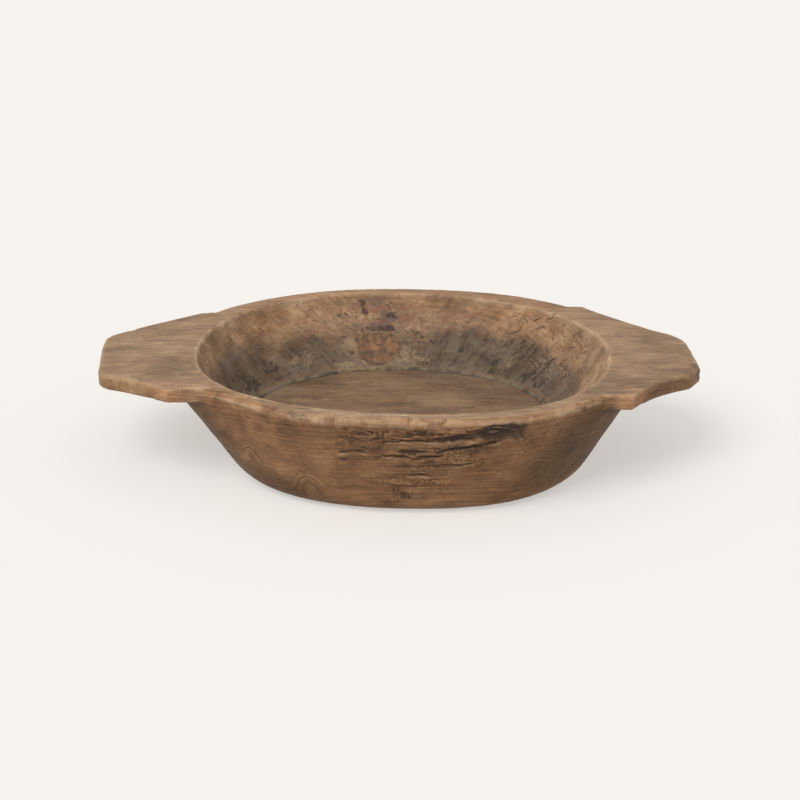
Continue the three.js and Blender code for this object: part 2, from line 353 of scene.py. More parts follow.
class Lattice:
    """Smooth random heights over space, the same on every run."""

    COUNT = 8192
    # Primes that scatter the cells over the random values.
    FACTORS = np.array((73856093, 19349663, 83492791))
    LAYER_SHIFT = 17.3

    def __init__(self, seed: int) -> None:
        """Draws the random values that the heights are made of."""
        self.values = np.random.default_rng(seed).uniform(-1.0, 1.0, self.COUNT)

    def at(self, place: np.ndarray, size: Union[float, Sequence[float]], layers: int = 1) -> np.ndarray:
        """Heights of about -1 to 1.

        Args:
            place: Points, in millimetres.
            size: How far apart the heights vary freely, along each axis.
            layers: How many layers are added, each half as wide and half as high.

        Returns:
            One height for each point.
        """
        total = np.zeros(len(place))
        for layer in range(layers):
            share = 0.5 ** layer
            total += share * self._layer(place / (np.asarray(size) * share) + self.LAYER_SHIFT * layer)
        return total

    def _layer(self, scaled: np.ndarray) -> np.ndarray:
        """One layer of heights.

        Args:
            scaled: Points in a space whose cells are one unit wide.

        Returns:
            One height for each point.
        """
        base = np.floor(scaled).astype(np.int64)
        share = ease(scaled - base, 0.0, 1.0)
        total = np.zeros(len(scaled))
        for corner in itertools.product((0, 1), repeat=3):
            mixed = np.bitwise_xor.reduce((base + corner) * self.FACTORS, axis=1)
            weight = np.prod(np.where(corner, share, 1.0 - share), axis=1)
            total += weight * self.values[mixed & (self.COUNT - 1)]
        return total


@dataclass(frozen=True)
class ToolCuts:
    """Cuts of a gouge, a chisel or a draw knife over a wall, one to a cell, in millimetres."""

    seed: int
    cell_along: float
    cell_up: float
    half_length: float
    half_width: float
    angle: float
    spread: float
    sharpness: float = 2.2

    COUNT = 4096
    # Primes that scatter the cells over the random draws.
    FACTORS = (7919, 104729)

    def depth(self, along: np.ndarray, up: np.ndarray) -> np.ndarray:
        """How deep the cuts go at points of a wall.

        Args:
            along: How far round the wall each point lies.
            up: How far up the wall it lies.

        Returns:
            The depths, 0 to 1. Each cut is steep on its lower side and runs out on its upper side.
        """
        draws = np.random.default_rng(self.seed).uniform(0.0, 1.0, (4, self.COUNT))
        column = np.floor(along / self.cell_along).astype(np.int64)
        row = np.floor(up / self.cell_up).astype(np.int64)
        deepest = np.zeros(len(along))
        for i, j in itertools.product((-1, 0, 1), repeat=2):
            mixed = (column + i) * self.FACTORS[0] ^ (row + j) * self.FACTORS[1]
            cell = mixed & (self.COUNT - 1)
            aside, above, turn, strength = draws[:, cell]
            away = along - (column + i + aside) * self.cell_along
            over = up - (row + j + above) * self.cell_up
            angle = np.radians(self.angle + self.spread * (2.0 * turn - 1.0))
            lengthways = away * np.cos(angle) + over * np.sin(angle)
            across = over * np.cos(angle) - away * np.sin(angle)
            width = np.where(across < 0.0, self.half_width, self.half_width * self.sharpness)
            cut = strength * np.exp(-((lengthways / self.half_length) ** 4) - (across / width) ** 2)
            deepest = np.maximum(deepest, cut)
        return deepest


class Side(Enum):
    """Which face of the wall a mark lies on."""

    INSIDE = "inside"
    OUTSIDE = "outside"


class Stain(Enum):
    """What the years have done to the wood, and where shade is painted on it, each a number held at the
    vertices.
    """

    SOOT = "soot"
    TAR = "tar"
    RED = "red"
    ORANGE = "orange"
    PALE = "pale"
    # Painted shade, not a stain.
    OLIVE = "olive"
    DECAY = "decay"
    TOOLED = "tooled"
    PIT = "pit"


@dataclass(frozen=True)
class Mark:
    """One stain, pit or patch of painted shade on a wall, in millimetres."""

    kind: Stain
    x: float
    y: float
    z: float
    half_length: float
    half_height: float
    strength: float = 1.0
    tilt: float = 0.0
    side: Side = Side.INSIDE

    # The squares of the distance at which a mark ends and at which it is full.
    FADE = (1.4, 0.15)

    def cover(self, place: np.ndarray) -> np.ndarray:
        """How strongly the mark covers points.

        Args:
            place: The points, in millimetres.

        Returns:
            The mark's strength near its middle, 0 outside it.
        """
        aside = place[:, 0] - self.x
        level = np.hypot(aside, place[:, 1] - self.y) / self.half_length
        height = (place[:, 2] - self.z - self.tilt * aside) / self.half_height
        return self.strength * ease(level ** 2 + height ** 2, *self.FADE)


@dataclass(frozen=True)
class Oval:
    """A level outline of the bowl, in millimetres, with its turn in degrees."""

    x: float
    y: float
    half_length: float
    half_width: float
    squareness: float
    turn: float = 0.0


@dataclass(frozen=True)
class Wall:
    """A face of the bowl that runs from one oval up to another."""

    low: Oval
    high: Oval
    low_height: float
    high_height: float

    def spread(self, place: np.ndarray) -> np.ndarray:
        """How far out points lie at their own height.

        Args:
            place: The points, in millimetres.

        Returns:
            1 on the face, less towards the middle.
        """
        share = np.clip((place[:, 2] - self.low_height) / (self.high_height - self.low_height), 0.0, 1.0)
        low, high = np.array(astuple(self.low)), np.array(astuple(self.high))
        x, y, length, width, power, turn = (low + share[:, None] * (high - low)).T
        turn = np.radians(turn)
        aside, away = place[:, 0] - x, place[:, 1] - y
        lengthways = np.abs(aside * np.cos(turn) + away * np.sin(turn)) / length
        across = np.abs(away * np.cos(turn) - aside * np.sin(turn)) / width
        return (lengthways ** power + across ** power) ** (1.0 / power)


# Marks by face and kind: x, y, z, half length, half height, strength and, at times, tilt.
MARKS: dict[tuple[Side, Stain], Sequence[Sequence[float]]] = {
    (Side.INSIDE, Stain.SOOT): (
        (-200, 70, 60, 110, 46, 0.98),
        (-120, 155, 50, 85, 42, 0.9),
        (-215, -20, 66, 85, 40, 0.75),
        (20, 182, 50, 70, 36, 0.8),
        # These two strongest marks, low on the right, are soot and also painted shade on the wall that the
        # lamp lights.
        (90, 172, 46, 80, 50, 1.4),
        (160, 125, 44, 95, 52, 1.5),
        (215, 50, 46, 80, 48, 0.9),
        (225, 60, 85, 80, 55, 0.35),
        (-30, 180, 52, 70, 16, 0.6),
    ),
    (Side.INSIDE, Stain.TAR): (
        (-48, 208, 118, 6, 5, 0.9),
        (-46, 207, 109, 7, 6, 1.0),
        (-10, 204, 103, 11, 5, 1.0),
        (-14, 197, 87, 17, 6, 1.1),
        (-38, 195, 85, 16, 6, 0.85),
        (-58, 188, 76, 5, 8, 0.75),
        (-64, 178, 58, 12, 6, 0.8),
        (12, 188, 66, 6, 10, 0.6),
        (-80, 190, 95, 7, 4, 0.8),
        (-88, 168, 52, 9, 6, 1.1),
        (18, 196, 82, 14, 9, 0.6),
        (-74, 200, 106, 9, 5, 0.7),
        (-195, 78, 54, 24, 12, 0.62),
        (-168, 122, 62, 18, 9, 0.55),
        (42, 192, 74, 20, 8, 0.55),
        (98, 178, 64, 24, 8, 0.6),
        (128, 160, 58, 28, 9, 0.55),
        (182, 98, 52, 30, 10, 0.6),
    ),
    (Side.INSIDE, Stain.RED): (
        (-34, 204, 104, 60, 24, 0.9),
        (71, 190, 92, 60, 26, 0.8),
        (20, 202, 104, 45, 22, 0.7),
        (-90, 185, 95, 45, 24, 0.75),
        (0, 190, 76, 90, 18, 0.6),
    ),
    (Side.INSIDE, Stain.ORANGE): (
        (157, 164, 108, 80, 24, 0.8),
        (-169, 160, 109, 80, 22, 0.8),
        (213, 106, 97, 60, 28, 0.5),
        (40, 208, 120, 95, 13, 0.8),
        (-80, 205, 118, 60, 14, 0.8),
    ),
    (Side.INSIDE, Stain.PALE): (
        (-139, 146, 63, 11, 8, 0.75),
        (-122, 153, 60, 10, 12, 0.8),
        (143, 141, 59, 12, 12, 0.7),
        (-66, 182, 70, 13, 18, 1.0),
        (-72, 197, 100, 24, 18, 0.75),
        (-100, 190, 92, 18, 12, 0.6),
        (-50, 206, 118, 40, 8, 0.6),
        (45, 198, 92, 14, 14, 0.5),
        (10, 196, 84, 10, 14, 0.5),
        (12, 185, 60, 16, 10, 0.95),
        (-50, 172, 47, 60, 6, 1.0),
        (20, 178, 50, 40, 5, 0.95),
        (75, 178, 66, 16, 16, 0.5),
        (86, 190, 90, 13, 18, 0.85),
        (56, 192, 80, 9, 16, 0.6),
    ),
    (Side.INSIDE, Stain.TOOLED): (
        (200, 112, 92, 105, 46, 1.0),
        (130, 170, 100, 70, 34, 0.7),
        (-120, 180, 112, 70, 24, 0.35),
    ),
    (Side.OUTSIDE, Stain.DECAY): (
        (55, -226, 111, 105, 12, 1.0, 0.03),
        (40, -226, 86, 100, 10, 0.9, 0.06),
        (-50, -225, 96, 30, 26, 0.6),
        (-15, -227, 109, 60, 13, 0.95),
        (40, -218, 68, 80, 16, 0.7, 0.05),
        (15, -212, 48, 60, 16, 0.75),
        (35, -207, 27, 50, 11, 0.6, 0.1),
    ),
    (Side.OUTSIDE, Stain.PIT): (
        (116, -226, 111, 34, 10, 2.6, 0.05),
        (60, -227, 107, 30, 4, 2.6, 0.05),
        (42, -227, 103, 62, 1.8, 2.6, 0.01),
        (91, -225, 93, 48, 2.6, 3.4, 0.126),
        (20, -227, 87, 22, 2.8, 3.0, 0.0),
        (4, -225, 79, 26, 2.8, 2.4, -0.14),
        (34, -224, 79, 20, 2.6, 2.4, 0.2),
        (5, -222, 66, 13, 9, 1.6, 0.0),
        (-43, -228, 99, 11, 4, 1.8, 0.0),
        (-60, -231, 115, 7, 4, 1.6, 0.0),
        (-38, -231, 113, 9, 6, 1.5, 0.0),
        (-49, -224, 86, 18, 3, 2.0, 0.06),
        (-61, -220, 73, 6, 4, 2.4, 0.0),
        (62, -222, 70, 28, 2.4, 1.6, 0.05),
        (39, -218, 56, 24, 2.4, 1.4, 0.05),
        (4, -214, 38, 15, 5, 1.4, 0.0),
        (148, -212, 103, 9, 4, 1.6, 0.0),
        (150, -208, 91, 8, 3, 1.5, 0.0),
    ),
    (Side.OUTSIDE, Stain.PALE): (
        (68, -224, 79, 24, 5, 0.85, 0.1),
        (42, -216, 57, 14, 3, 0.8, 0.1),
        (-52, -228, 104, 12, 2, 0.9, -0.2),
        (130, -218, 124, 45, 3, 0.7, 0.0),
        (30, -212, 38, 24, 1.5, 0.8, 0.12),
        (48, -208, 30, 26, 1.6, 0.85, 0.12),
    ),
    # Outside, the rows over the pits of the rotten band, the strongest among them, are dark rot and painted
    # shade in the holes.
    (Side.OUTSIDE, Stain.TAR): (
        (4, -208, 29, 19, 12, 0.72),
        (25, -216, 60, 40, 4, 0.5, 0.1),
        (122, -226, 111, 36, 13, 1.4, 0.05),
        (66, -226, 105, 40, 4.5, 0.95, 0.05),
        (75, -226, 95, 48, 5, 0.6, 0.126),
        (0, -226, 92, 55, 5, 0.5),
        (-116, -212, 128, 20, 3, 0.95, -0.06),
        (-61, -220, 73, 7, 4, 0.8),
        (-200, -165, 117, 10, 2, 0.6),
        (150, -212, 97, 12, 9, 0.45),
    ),
    # Painted shade, olive-tinted: the shell's two ends, its lower front and the right ear's tip, darkened
    # where less light falls.
    (Side.OUTSIDE, Stain.OLIVE): (
        (255, -120, 70, 120, 60, 1.15),
        (190, -165, 45, 75, 34, 0.85),
        (-235, -80, 60, 75, 60, 1.05),
        (-275, -50, 75, 50, 60, 1.2),
        (-150, -150, 15, 90, 30, 0.75),
        (-220, -100, 38, 45, 34, 0.9),
        (335, -95, 115, 55, 14, 0.35),
        (372, -45, 118, 15, 14, 1.1),
    ),
    (Side.OUTSIDE, Stain.ORANGE): (
        (0, 225, 132, 120, 6, 0.9),
        (150, 190, 132, 80, 6, 0.9),
        (-150, 195, 132, 80, 6, 0.9),
    ),
    (Side.OUTSIDE, Stain.RED): (
        (-266, -125, 118, 40, 16, 1.0),
        (284, -146, 118, 34, 16, 1.0),
    ),
}


@dataclass
class Weathering:
    """Where the bowl is hewn, cut, burnt, stained, rotten and worn, and where shade is painted, in
    millimetres.
    """

    rim_height: float = 132.0
    inner: Wall = Wall(
        Oval(2, 4, 197, 165, 2.1), Oval(7, 0, 258, 212, 2.2, -8), low_height=40, high_height=132)
    outer: Wall = Wall(
        Oval(17, -7, 217, 199, 2.4, -3), Oval(8, 0, 303, 237, 2.2, -2), low_height=0, high_height=132)
    wall_radius: float = 215.0
    wall_slope: float = 1.2
    oval_ratio: float = 1.2
    left_slant: float = 0.6
    slant_change: float = 0.95
    edge_wander: float = 5.0
    swell: float = 0.6
    ripple: float = 0.15
    gouge_depth: float = 0.7
    chisel_depth: float = 0.9
    stray_depth: float = 0.2
    knife_depth: float = 0.45
    floor_grain: float = 0.35
    top_grain: float = 0.25
    rot_depth: float = 0.6
    rot_layers: float = 1.3
    root_lumps: float = 0.7
    dent_depth: float = 0.7
    heights: Lattice = field(default_factory=lambda: Lattice(5))
    wander: Lattice = field(default_factory=lambda: Lattice(11))
    gouges: ToolCuts = ToolCuts(
        seed=3, cell_along=24, cell_up=17, half_length=15, half_width=5.0, angle=62, spread=25)
    chisel_right: ToolCuts = ToolCuts(
        seed=7, cell_along=13, cell_up=9, half_length=5.5, half_width=0.9, angle=38, spread=16)
    chisel_left: ToolCuts = ToolCuts(
        seed=8, cell_along=17, cell_up=12, half_length=5.0, half_width=0.9, angle=-28, spread=18)
    draw_knife: ToolCuts = ToolCuts(
        seed=9, cell_along=70, cell_up=24, half_length=38, half_width=7.0, angle=4, spread=10)
    marks: list[Mark] = field(default_factory=lambda: [
        Mark(kind, *row, side=side) for (side, kind), rows in MARKS.items() for row in rows])

    def stains(self, place: np.ndarray, normal: np.ndarray) -> dict[str, np.ndarray]:
        """Works out every stain, the painted shade and every part of the bowl at points of its surface.

        Args:
            place: The points, in millimetres, before any wear.
            normal: Their outward directions.

        Returns:
            Numbers for each point by name, 0 to 1 but for pits, which are depths in millimetres.
        """
        height, up = place[:, 2], normal[:, 2]
        facing = self._facing(place, normal)
        floor = ease(up, 0.7, 0.93) * ease(height, 58, 48) * ease(self.inner.spread(place), 1.12, 1.02)
        found = {"floor": floor, "wall": ease(facing, -0.12, -0.4) * ease(height, 36, 40) * (1 - floor)}
        hollow = found["floor"] + found["wall"]
        found["top"] = ease(up, 0.5, 0.85) * ease(height, 100, 112) * (1 - hollow)
        at_rim = place * (1, 1, 0) + (0, 0, self.rim_height)
        found["ear"] = ease(self.outer.spread(at_rim), 1.0, 1.04) * ease(height, 70, 95)
        found["edge"] = found["ear"] * ease(up, 0.8, 0.5)
        found["shell"] = ease(facing, 0.25, 0.55) * (1 - found["ear"]) * ease(height, 1, 5)
        moved = place + self.edge_wander * np.stack(
            [self.wander.at(place + shift, 26, 3) for shift in (0.0, 300.0, 600.0)], axis=1) * (1, 1, 0.55)
        faces = {Side.INSIDE: hollow, Side.OUTSIDE: 1 - hollow}
        for kind in Stain:
            covers = [faces[m.side] * m.cover(moved) for m in self.marks if m.kind is kind]
            found[kind.value] = np.max(covers, axis=0)
        # Darker low on the wall and on the floor next to it.
        band = found["wall"] * ease(height, 66, 44)
        corner = found["floor"] * ease(self.inner.spread(place), 0.8, 1.0)
        found["soot"] = np.maximum.reduce([found["soot"], 0.6 * band, 0.4 * corner])
        return found

    def _facing(self, place: np.ndarray, normal: np.ndarray) -> np.ndarray:
        """How far the surface looks out of the bowl.

        Args:
            place: The points, in millimetres.
            normal: Their outward directions.

        Returns:
            1 for straight out, -1 for straight in.
        """
        rim = self.outer.high
        out = (place - (rim.x, rim.y, 0)) / (rim.half_length ** 2, rim.half_width ** 2, 1) * (1, 1, 0)
        out /= np.linalg.norm(out, axis=1, keepdims=True) + TINY
        return np.einsum("ij,ij->i", out, normal)

    def bearing(self, place: np.ndarray) -> np.ndarray:
        """Angles round the bowl, from its right-hand end towards its back."""
        middle = self.inner.low
        return np.arctan2((place[:, 1] - middle.y) * self.oval_ratio, place[:, 0] - middle.x)

    def wind(self, place: np.ndarray, lean: float = 0.0) -> np.ndarray:
        """Coordinates that wind round the bowl as they climb, the way that the tools ran over its wall.

        Args:
            place: The points, in millimetres.
            lean: How much further to the right they climb.

        Returns:
            A point on a slanted cylinder for each, in metres.
        """
        slant = self.left_slant - self.slant_change * ease(place[:, 0], -120, 160) - lean
        angle = self.bearing(place) - slant * place[:, 2] / self.wall_radius
        return np.stack(
            [self.wall_radius * np.cos(angle), self.wall_radius * np.sin(angle), place[:, 2]], axis=1) * MM

    def relief(self, place: np.ndarray, found: dict[str, np.ndarray], edge: np.ndarray) -> np.ndarray:
        """How far the worn surface lies above the plain one.

        Args:
            place: The points, in millimetres.
            found: Their stains and parts of the bowl.
            edge: Where the plain shape has an edge.

        Returns:
            Heights in millimetres.
        """
        along, up = self.bearing(place) * self.wall_radius, place[:, 2] * self.wall_slope
        height = self.swell * self.heights.at(place, 70) + self.ripple * self.heights.at(place, 28, 2)
        height -= found["wall"] * self.gouge_depth * self.gouges.depth(along, up)
        tooled = found["tooled"] * found["wall"]
        cuts = np.maximum(self.chisel_right.depth(along, up), 0.8 * self.chisel_left.depth(along, up))
        chiselled = self.stray_depth * found["wall"] + self.chisel_depth * tooled
        height -= chiselled * cuts * ease(place[:, 2], 129, 117)
        height -= found["shell"] * self.knife_depth * self.draw_knife.depth(along, up)
        height += found["floor"] * self.floor_grain * self.heights.at(place, (120, 9, 30))
        height += found["top"] * self.top_grain * self.heights.at(place, (90, 12, 40), 2)
        layers = self.heights.at(place, (80, 40, 4.2), 2)
        height -= found["decay"] * (self.rot_depth + self.rot_layers * np.clip(layers, -0.4, 1.0))
        height -= found["pit"] * (0.8 + 0.4 * self.heights.at(place, (14, 14, 3.5), 2))
        height += found["red"] * (1 - found["wall"]) * self.root_lumps * self.heights.at(place, 9, 2)
        dents = ease(self.heights.at(place + 900, (18, 12, 8)), 0.5, 0.85)
        height -= self.dent_depth * dents * edge
        return height * ease(place[:, 2], 0.5, 6.0)


def keep(mesh: bmesh.types.BMesh, name: str) -> bpy.types.Mesh:
    """Turns a shape into a mesh, and frees it.

    Args:
        mesh: The shape, which is used up.
        name: The mesh's name.

    Returns:
        The mesh.
    """
    made = bpy.data.meshes.new(name)
    mesh.to_mesh(made)
    mesh.free()
    return made


def merged_copy(node: str, grow: float = 0.0) -> bmesh.types.BMesh:
    """A copy of a frame node with its loose triangles merged.

    Args:
        node: The node's name.
        grow: How far its faces are pushed out, in metres.

    Returns:
        The copy.
    """
    copy = bmesh.new()
    copy.from_mesh(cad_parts[node].data)
    bmesh.ops.remove_doubles(copy, verts=copy.verts, dist=MERGE_DISTANCE)
    copy.normal_update()
    for vertex in copy.verts:
        vertex.co += vertex.normal * grow
    return copy


def modified(mesh: bpy.types.Mesh, kind: str, **settings: object) -> bpy.types.Mesh:
    """A mesh as one modifier leaves it.

    Args:
        mesh: The mesh to start from.
        kind: The modifier's type.
        settings: Its properties.

    Returns:
        A new mesh.
    """
    holder = bpy.data.objects.new("work", mesh)
    bpy.context.scene.collection.objects.link(holder)
    modifier = holder.modifiers.new("work", kind)
    for name, value in settings.items():
        setattr(modifier, name, value)
    graph = bpy.context.evaluated_depsgraph_get()
    made = bpy.data.meshes.new_from_object(holder.evaluated_get(graph))
    bpy.data.objects.remove(holder)
    return made


def carved(mesh: bpy.types.Mesh, cutter: bmesh.types.BMesh, operation: str) -> bpy.types.Mesh:
    """A mesh cut by another.

    Args:
        mesh: The mesh to cut, which stays as it is.
        cutter: The cutting shape, which is used up.
        operation: DIFFERENCE to take the cutter away, INTERSECT to keep what lies in it.

    Returns:
        A new mesh.
    """
    holder = bpy.data.objects.new("cutter", keep(cutter, "cutter"))
    bpy.context.scene.collection.objects.link(holder)
    made = modified(mesh, "BOOLEAN", operation=operation, solver="MANIFOLD", object=holder)
    bpy.data.objects.remove(holder)
    return made


def vectors(items: bpy.types.bpy_prop_collection, name: str) -> np.ndarray:
    """The vectors that a mesh's items hold.

    Args:
        items: The vertices, or their normals.
        name: What the vector is called.

    Returns:
        One row for each item.
    """
    flat = np.empty(len(items) * 3, dtype=np.float32)
    items.foreach_get(name, flat)
    return flat.reshape(-1, 3).astype(np.float64)


def coordinates(mesh: bpy.types.Mesh) -> np.ndarray:
    """The vertices of a mesh, in millimetres."""
    return vectors(mesh.vertices, "co") / MM


def directions(mesh: bpy.types.Mesh) -> np.ndarray:
    """The outward directions at a mesh's vertices."""
    return vectors(mesh.vertex_normals, "vector")


def move_to(mesh: bpy.types.Mesh, place: np.ndarray) -> None:
    """Moves a mesh's vertices to places in millimetres."""
    mesh.vertices.foreach_set("co", (place * MM).astype(np.float32).ravel())
    mesh.update()


def roundness(mesh: bpy.types.Mesh) -> np.ndarray:
    """How sharply a mesh bends at its vertices.

    Args:
        mesh: The mesh.

    Returns:
        Bends per millimetre, evened out over near vertices: above 0 on edges, below 0 in hollows.
    """
    pairs = np.empty(len(mesh.edges) * 2, dtype=np.int32)
    mesh.edges.foreach_get("vertices", pairs)
    first, second = pairs.reshape(-1, 2).T
    place, normal = coordinates(mesh), directions(mesh)
    span = place[second] - place[first]
    lengths = np.einsum("ij,ij->i", span, span)
    rise, size = (np.full(len(place), TINY) for _ in range(2))
    for start, sign in ((first, 1.0), (second, -1.0)):
        np.add.at(rise, start, sign * np.einsum("ij,ij->i", span, normal[start]))
        np.add.at(size, start, lengths)
    bend = -2.0 * rise / size
    for _ in range(2):
        total, near = bend.copy(), np.ones(len(place))
        for start, finish in ((first, second), (second, first)):
            np.add.at(total, start, bend[finish])
            np.add.at(near, start, 1.0)
        bend = total / near
    return bend


def add_piece(name: str, mesh: bpy.types.Mesh, material: bpy.types.Material, node: str) -> None:
    """Puts a finished mesh into the scene in place of a frame node.

    Args:
        name: The piece's name.
        mesh: Its mesh, in place.
        material: Its finish.
        node: The frame node that it stands for.
    """
    mesh.materials.clear()
    mesh.materials.append(material)
    mesh.name = name
    for polygon in mesh.polygons:
        polygon.use_smooth = True
    mesh.set_sharp_from_angle(angle=SHARP_ANGLE)
    piece = bpy.data.objects.new(name, mesh)
    bpy.context.scene.collection.objects.link(piece)
    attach(piece, BODY)
    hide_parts(node)
    triangles = sum(len(polygon.vertices) - 2 for polygon in mesh.polygons)
    LOG.info("%s: %d triangles", name, triangles)


@dataclass
class Blank:
    """The worn log with every let-in piece still part of it, which the pieces are then cut from.

    Lengths with MM are in metres, the others in millimetres, and bends are per millimetre.
    """

    voxel: float = 5.5 * MM
    rounding: int = 3
    root_passes: int = 12
    overlap: float = 0.6 * MM
    flat: float = 0.25 * MM
    bent: float = 0.016
    sharp: float = 0.045
    no_limit: float = 99.0
    rough_share: float = 0.15
    roughest_share: float = 0.36
    wall_share: float = 0.3
    floor_share: float = 0.1
    root_share: float = 0.2
    foot_height: float = 6.0
    cross_lean: float = 1.1
    deepest_pit: float = 4.0
    edge_bends: tuple[float, float] = (0.03, 0.1)
    wear_bends: tuple[float, float] = (0.025, 0.1)
    crevice_bends: tuple[float, float] = (-0.03, -0.14)
    let_in: tuple[str, ...] = (
        "wall_knot_plug", "wall_plug_pitch", "rim_patch", "rim_patch_filler", "rim_knot")
    weathering: Weathering = field(default_factory=Weathering)
    mesh: bpy.types.Mesh = field(init=False)
    found: dict[str, np.ndarray] = field(init=False)
    near: kdtree.KDTree = field(init=False)

    def build(self) -> None:
        """Makes the blank, wears it, and notes at its vertices the stains, the painted shade and the
        painted highlights.
        """
        plain = self._shaped()
        place, normal = coordinates(plain), directions(plain)
        found = self.weathering.stains(place, normal)
        edge = ease(roundness(plain), *self.edge_bends)
        found["wind"] = self.weathering.wind(place)
        found["cross"] = self.weathering.wind(place, self.cross_lean)
        place += normal * self.weathering.relief(place, found, edge)[:, None]
        move_to(plain, place)
        bend = roundness(plain)
        # Edges that bend outward are worn lighter and painted as highlight along the front; less at the
        # back and on the ears.
        touched_and_lit = (1 - 0.6 * found["ear"]) * (1 - 0.8 * ease(place[:, 1], 60, 150))
        found["wear"] = ease(bend, *self.wear_bends) * touched_and_lit
        # Hollows, where the colour is darkened as painted shade.
        found["crevice"] = ease(bend, *self.crevice_bends)
        found["pit"] = np.clip(found["pit"] / self.deepest_pit, 0.0, 1.0)
        self.mesh, self.found = plain, found
        self.near = kdtree.KDTree(len(place))
        for number, point in enumerate(place):
            self.near.insert(point, number)
        self.near.balance()

    def _joined(self) -> bpy.types.Mesh:
        """Puts the log and its let-in pieces together.

        Returns:
            One mesh of overlapping solids.
        """
        joined = merged_copy("carved_bowl")
        for node in self.let_in:
            grown = keep(merged_copy(node, self.overlap), node)
            joined.from_mesh(grown)
        return keep(joined, "joined")

    def _shaped(self) -> bpy.types.Mesh:
        """Lays an even mesh over the joined shape, finer where the wood bends sharply, is cut or is rotten.

        Returns:
            The mesh, before any wear.
        """
        joined = self._joined()
        corners = [vertex.co for vertex in joined.vertices]
        surface = BVHTree.FromPolygons(corners, [tuple(p.vertices) for p in joined.polygons])
        shape = bmesh.new()
        shape.from_mesh(modified(joined, "REMESH", mode="VOXEL", voxel_size=self.voxel))
        self._smooth(shape, self.rounding, self.no_limit)
        self._draw_on(shape, surface)
        for finest in (False, True):
            self._refine(shape, finest)
            self._smooth(shape, 1, self.no_limit)
            self._draw_on(shape, surface)
        self._smooth(shape, 2, self.sharp)
        self._soften_roots(shape)
        for vertex in shape.verts:
            if vertex.co.z < self.flat:
                vertex.co.z = 0.0
        return keep(shape, "blank")

    @staticmethod
    def _even_out(shape: bmesh.types.BMesh, chosen: np.ndarray, passes: int) -> None:
        """Draws chosen vertices towards their neighbours.

        Args:
            shape: The shape to change.
            chosen: True for each vertex that moves.
            passes: How often it is done.
        """
        verts = [vertex for vertex, moves in zip(shape.verts, chosen) if moves]
        for _ in range(passes):
            bmesh.ops.smooth_vert(
                shape, verts=verts, factor=0.5, use_axis_x=True, use_axis_y=True, use_axis_z=True)

    def _smooth(self, shape: bmesh.types.BMesh, passes: int, limit: float) -> None:
        """Evens out a shape, but for edges that bend more sharply than a limit."""
        bend = np.abs(roundness(keep(shape.copy(), "bends")))
        self._even_out(shape, bend < limit, passes)

    def _stained(self, shape: bmesh.types.BMesh) -> tuple[bpy.types.Mesh, dict[str, np.ndarray]]:
        """A shape as a mesh, and the stains at its vertices."""
        mesh = keep(shape.copy(), "current")
        return mesh, self.weathering.stains(coordinates(mesh), directions(mesh))

    def _soften_roots(self, shape: bmesh.types.BMesh) -> None:
        """Rounds the corners of the blocks that the ears stand on, which are worn down.

        Args:
            shape: The shape to change.
        """
        _, found = self._stained(shape)
        worn = found["red"] * (1 - found["wall"]) > self.root_share
        self._even_out(shape, worn, self.root_passes)
        shape.normal_update()

    @staticmethod
    def _draw_on(shape: bmesh.types.BMesh, surface: BVHTree) -> None:
        """Draws a shape's vertices onto a surface."""
        for vertex in shape.verts:
            vertex.co = surface.find_nearest(vertex.co)[0]

    def _refine(self, shape: bmesh.types.BMesh, finest: bool) -> None:
        """Halves the faces on edges and where the wood is cut or rotten, and at first on the inner wall.

        Args:
            shape: The shape to change.
            finest: Whether only the sharpest edges and the roughest wood are meant.
        """
        shape.normal_update()
        current, found = self._stained(shape)
        bend = np.abs(roundness(current))
        open_air = (coordinates(current)[:, 2] > self.foot_height) & (found["floor"] < self.floor_share)
        limit, least = (self.sharp, self.roughest_share) if finest else (self.bent, self.rough_share)
        fine = np.maximum(found["decay"], found["tooled"] * found["wall"]) > least
        fine |= (bend > limit) & open_air
        if not finest:
            fine |= found["wall"] > self.wall_share
        shape.verts.index_update()
        edges = [e for e in shape.edges if fine[e.verts[0].index] and fine[e.verts[1].index]]
        bmesh.ops.subdivide_edges(shape, edges=edges, cuts=1, use_grid_fill=True)
        shape.normal_update()

    def stain(self, mesh: bpy.types.Mesh) -> None:
        """Gives a mesh the stains, painted shade and highlights of the blank's nearest vertices.

        Args:
            mesh: A piece cut from the blank, or one that lies against it.
        """
        nearest = [self.near.find(vertex.co / MM)[1] for vertex in mesh.vertices]
        for name, values in self.found.items():
            kind, part = ("FLOAT", "value") if values.ndim == 1 else ("FLOAT_VECTOR", "vector")
            layer = mesh.attributes.new(name, kind, "POINT")
            layer.data.foreach_set(part, values[nearest].astype(np.float32).ravel())


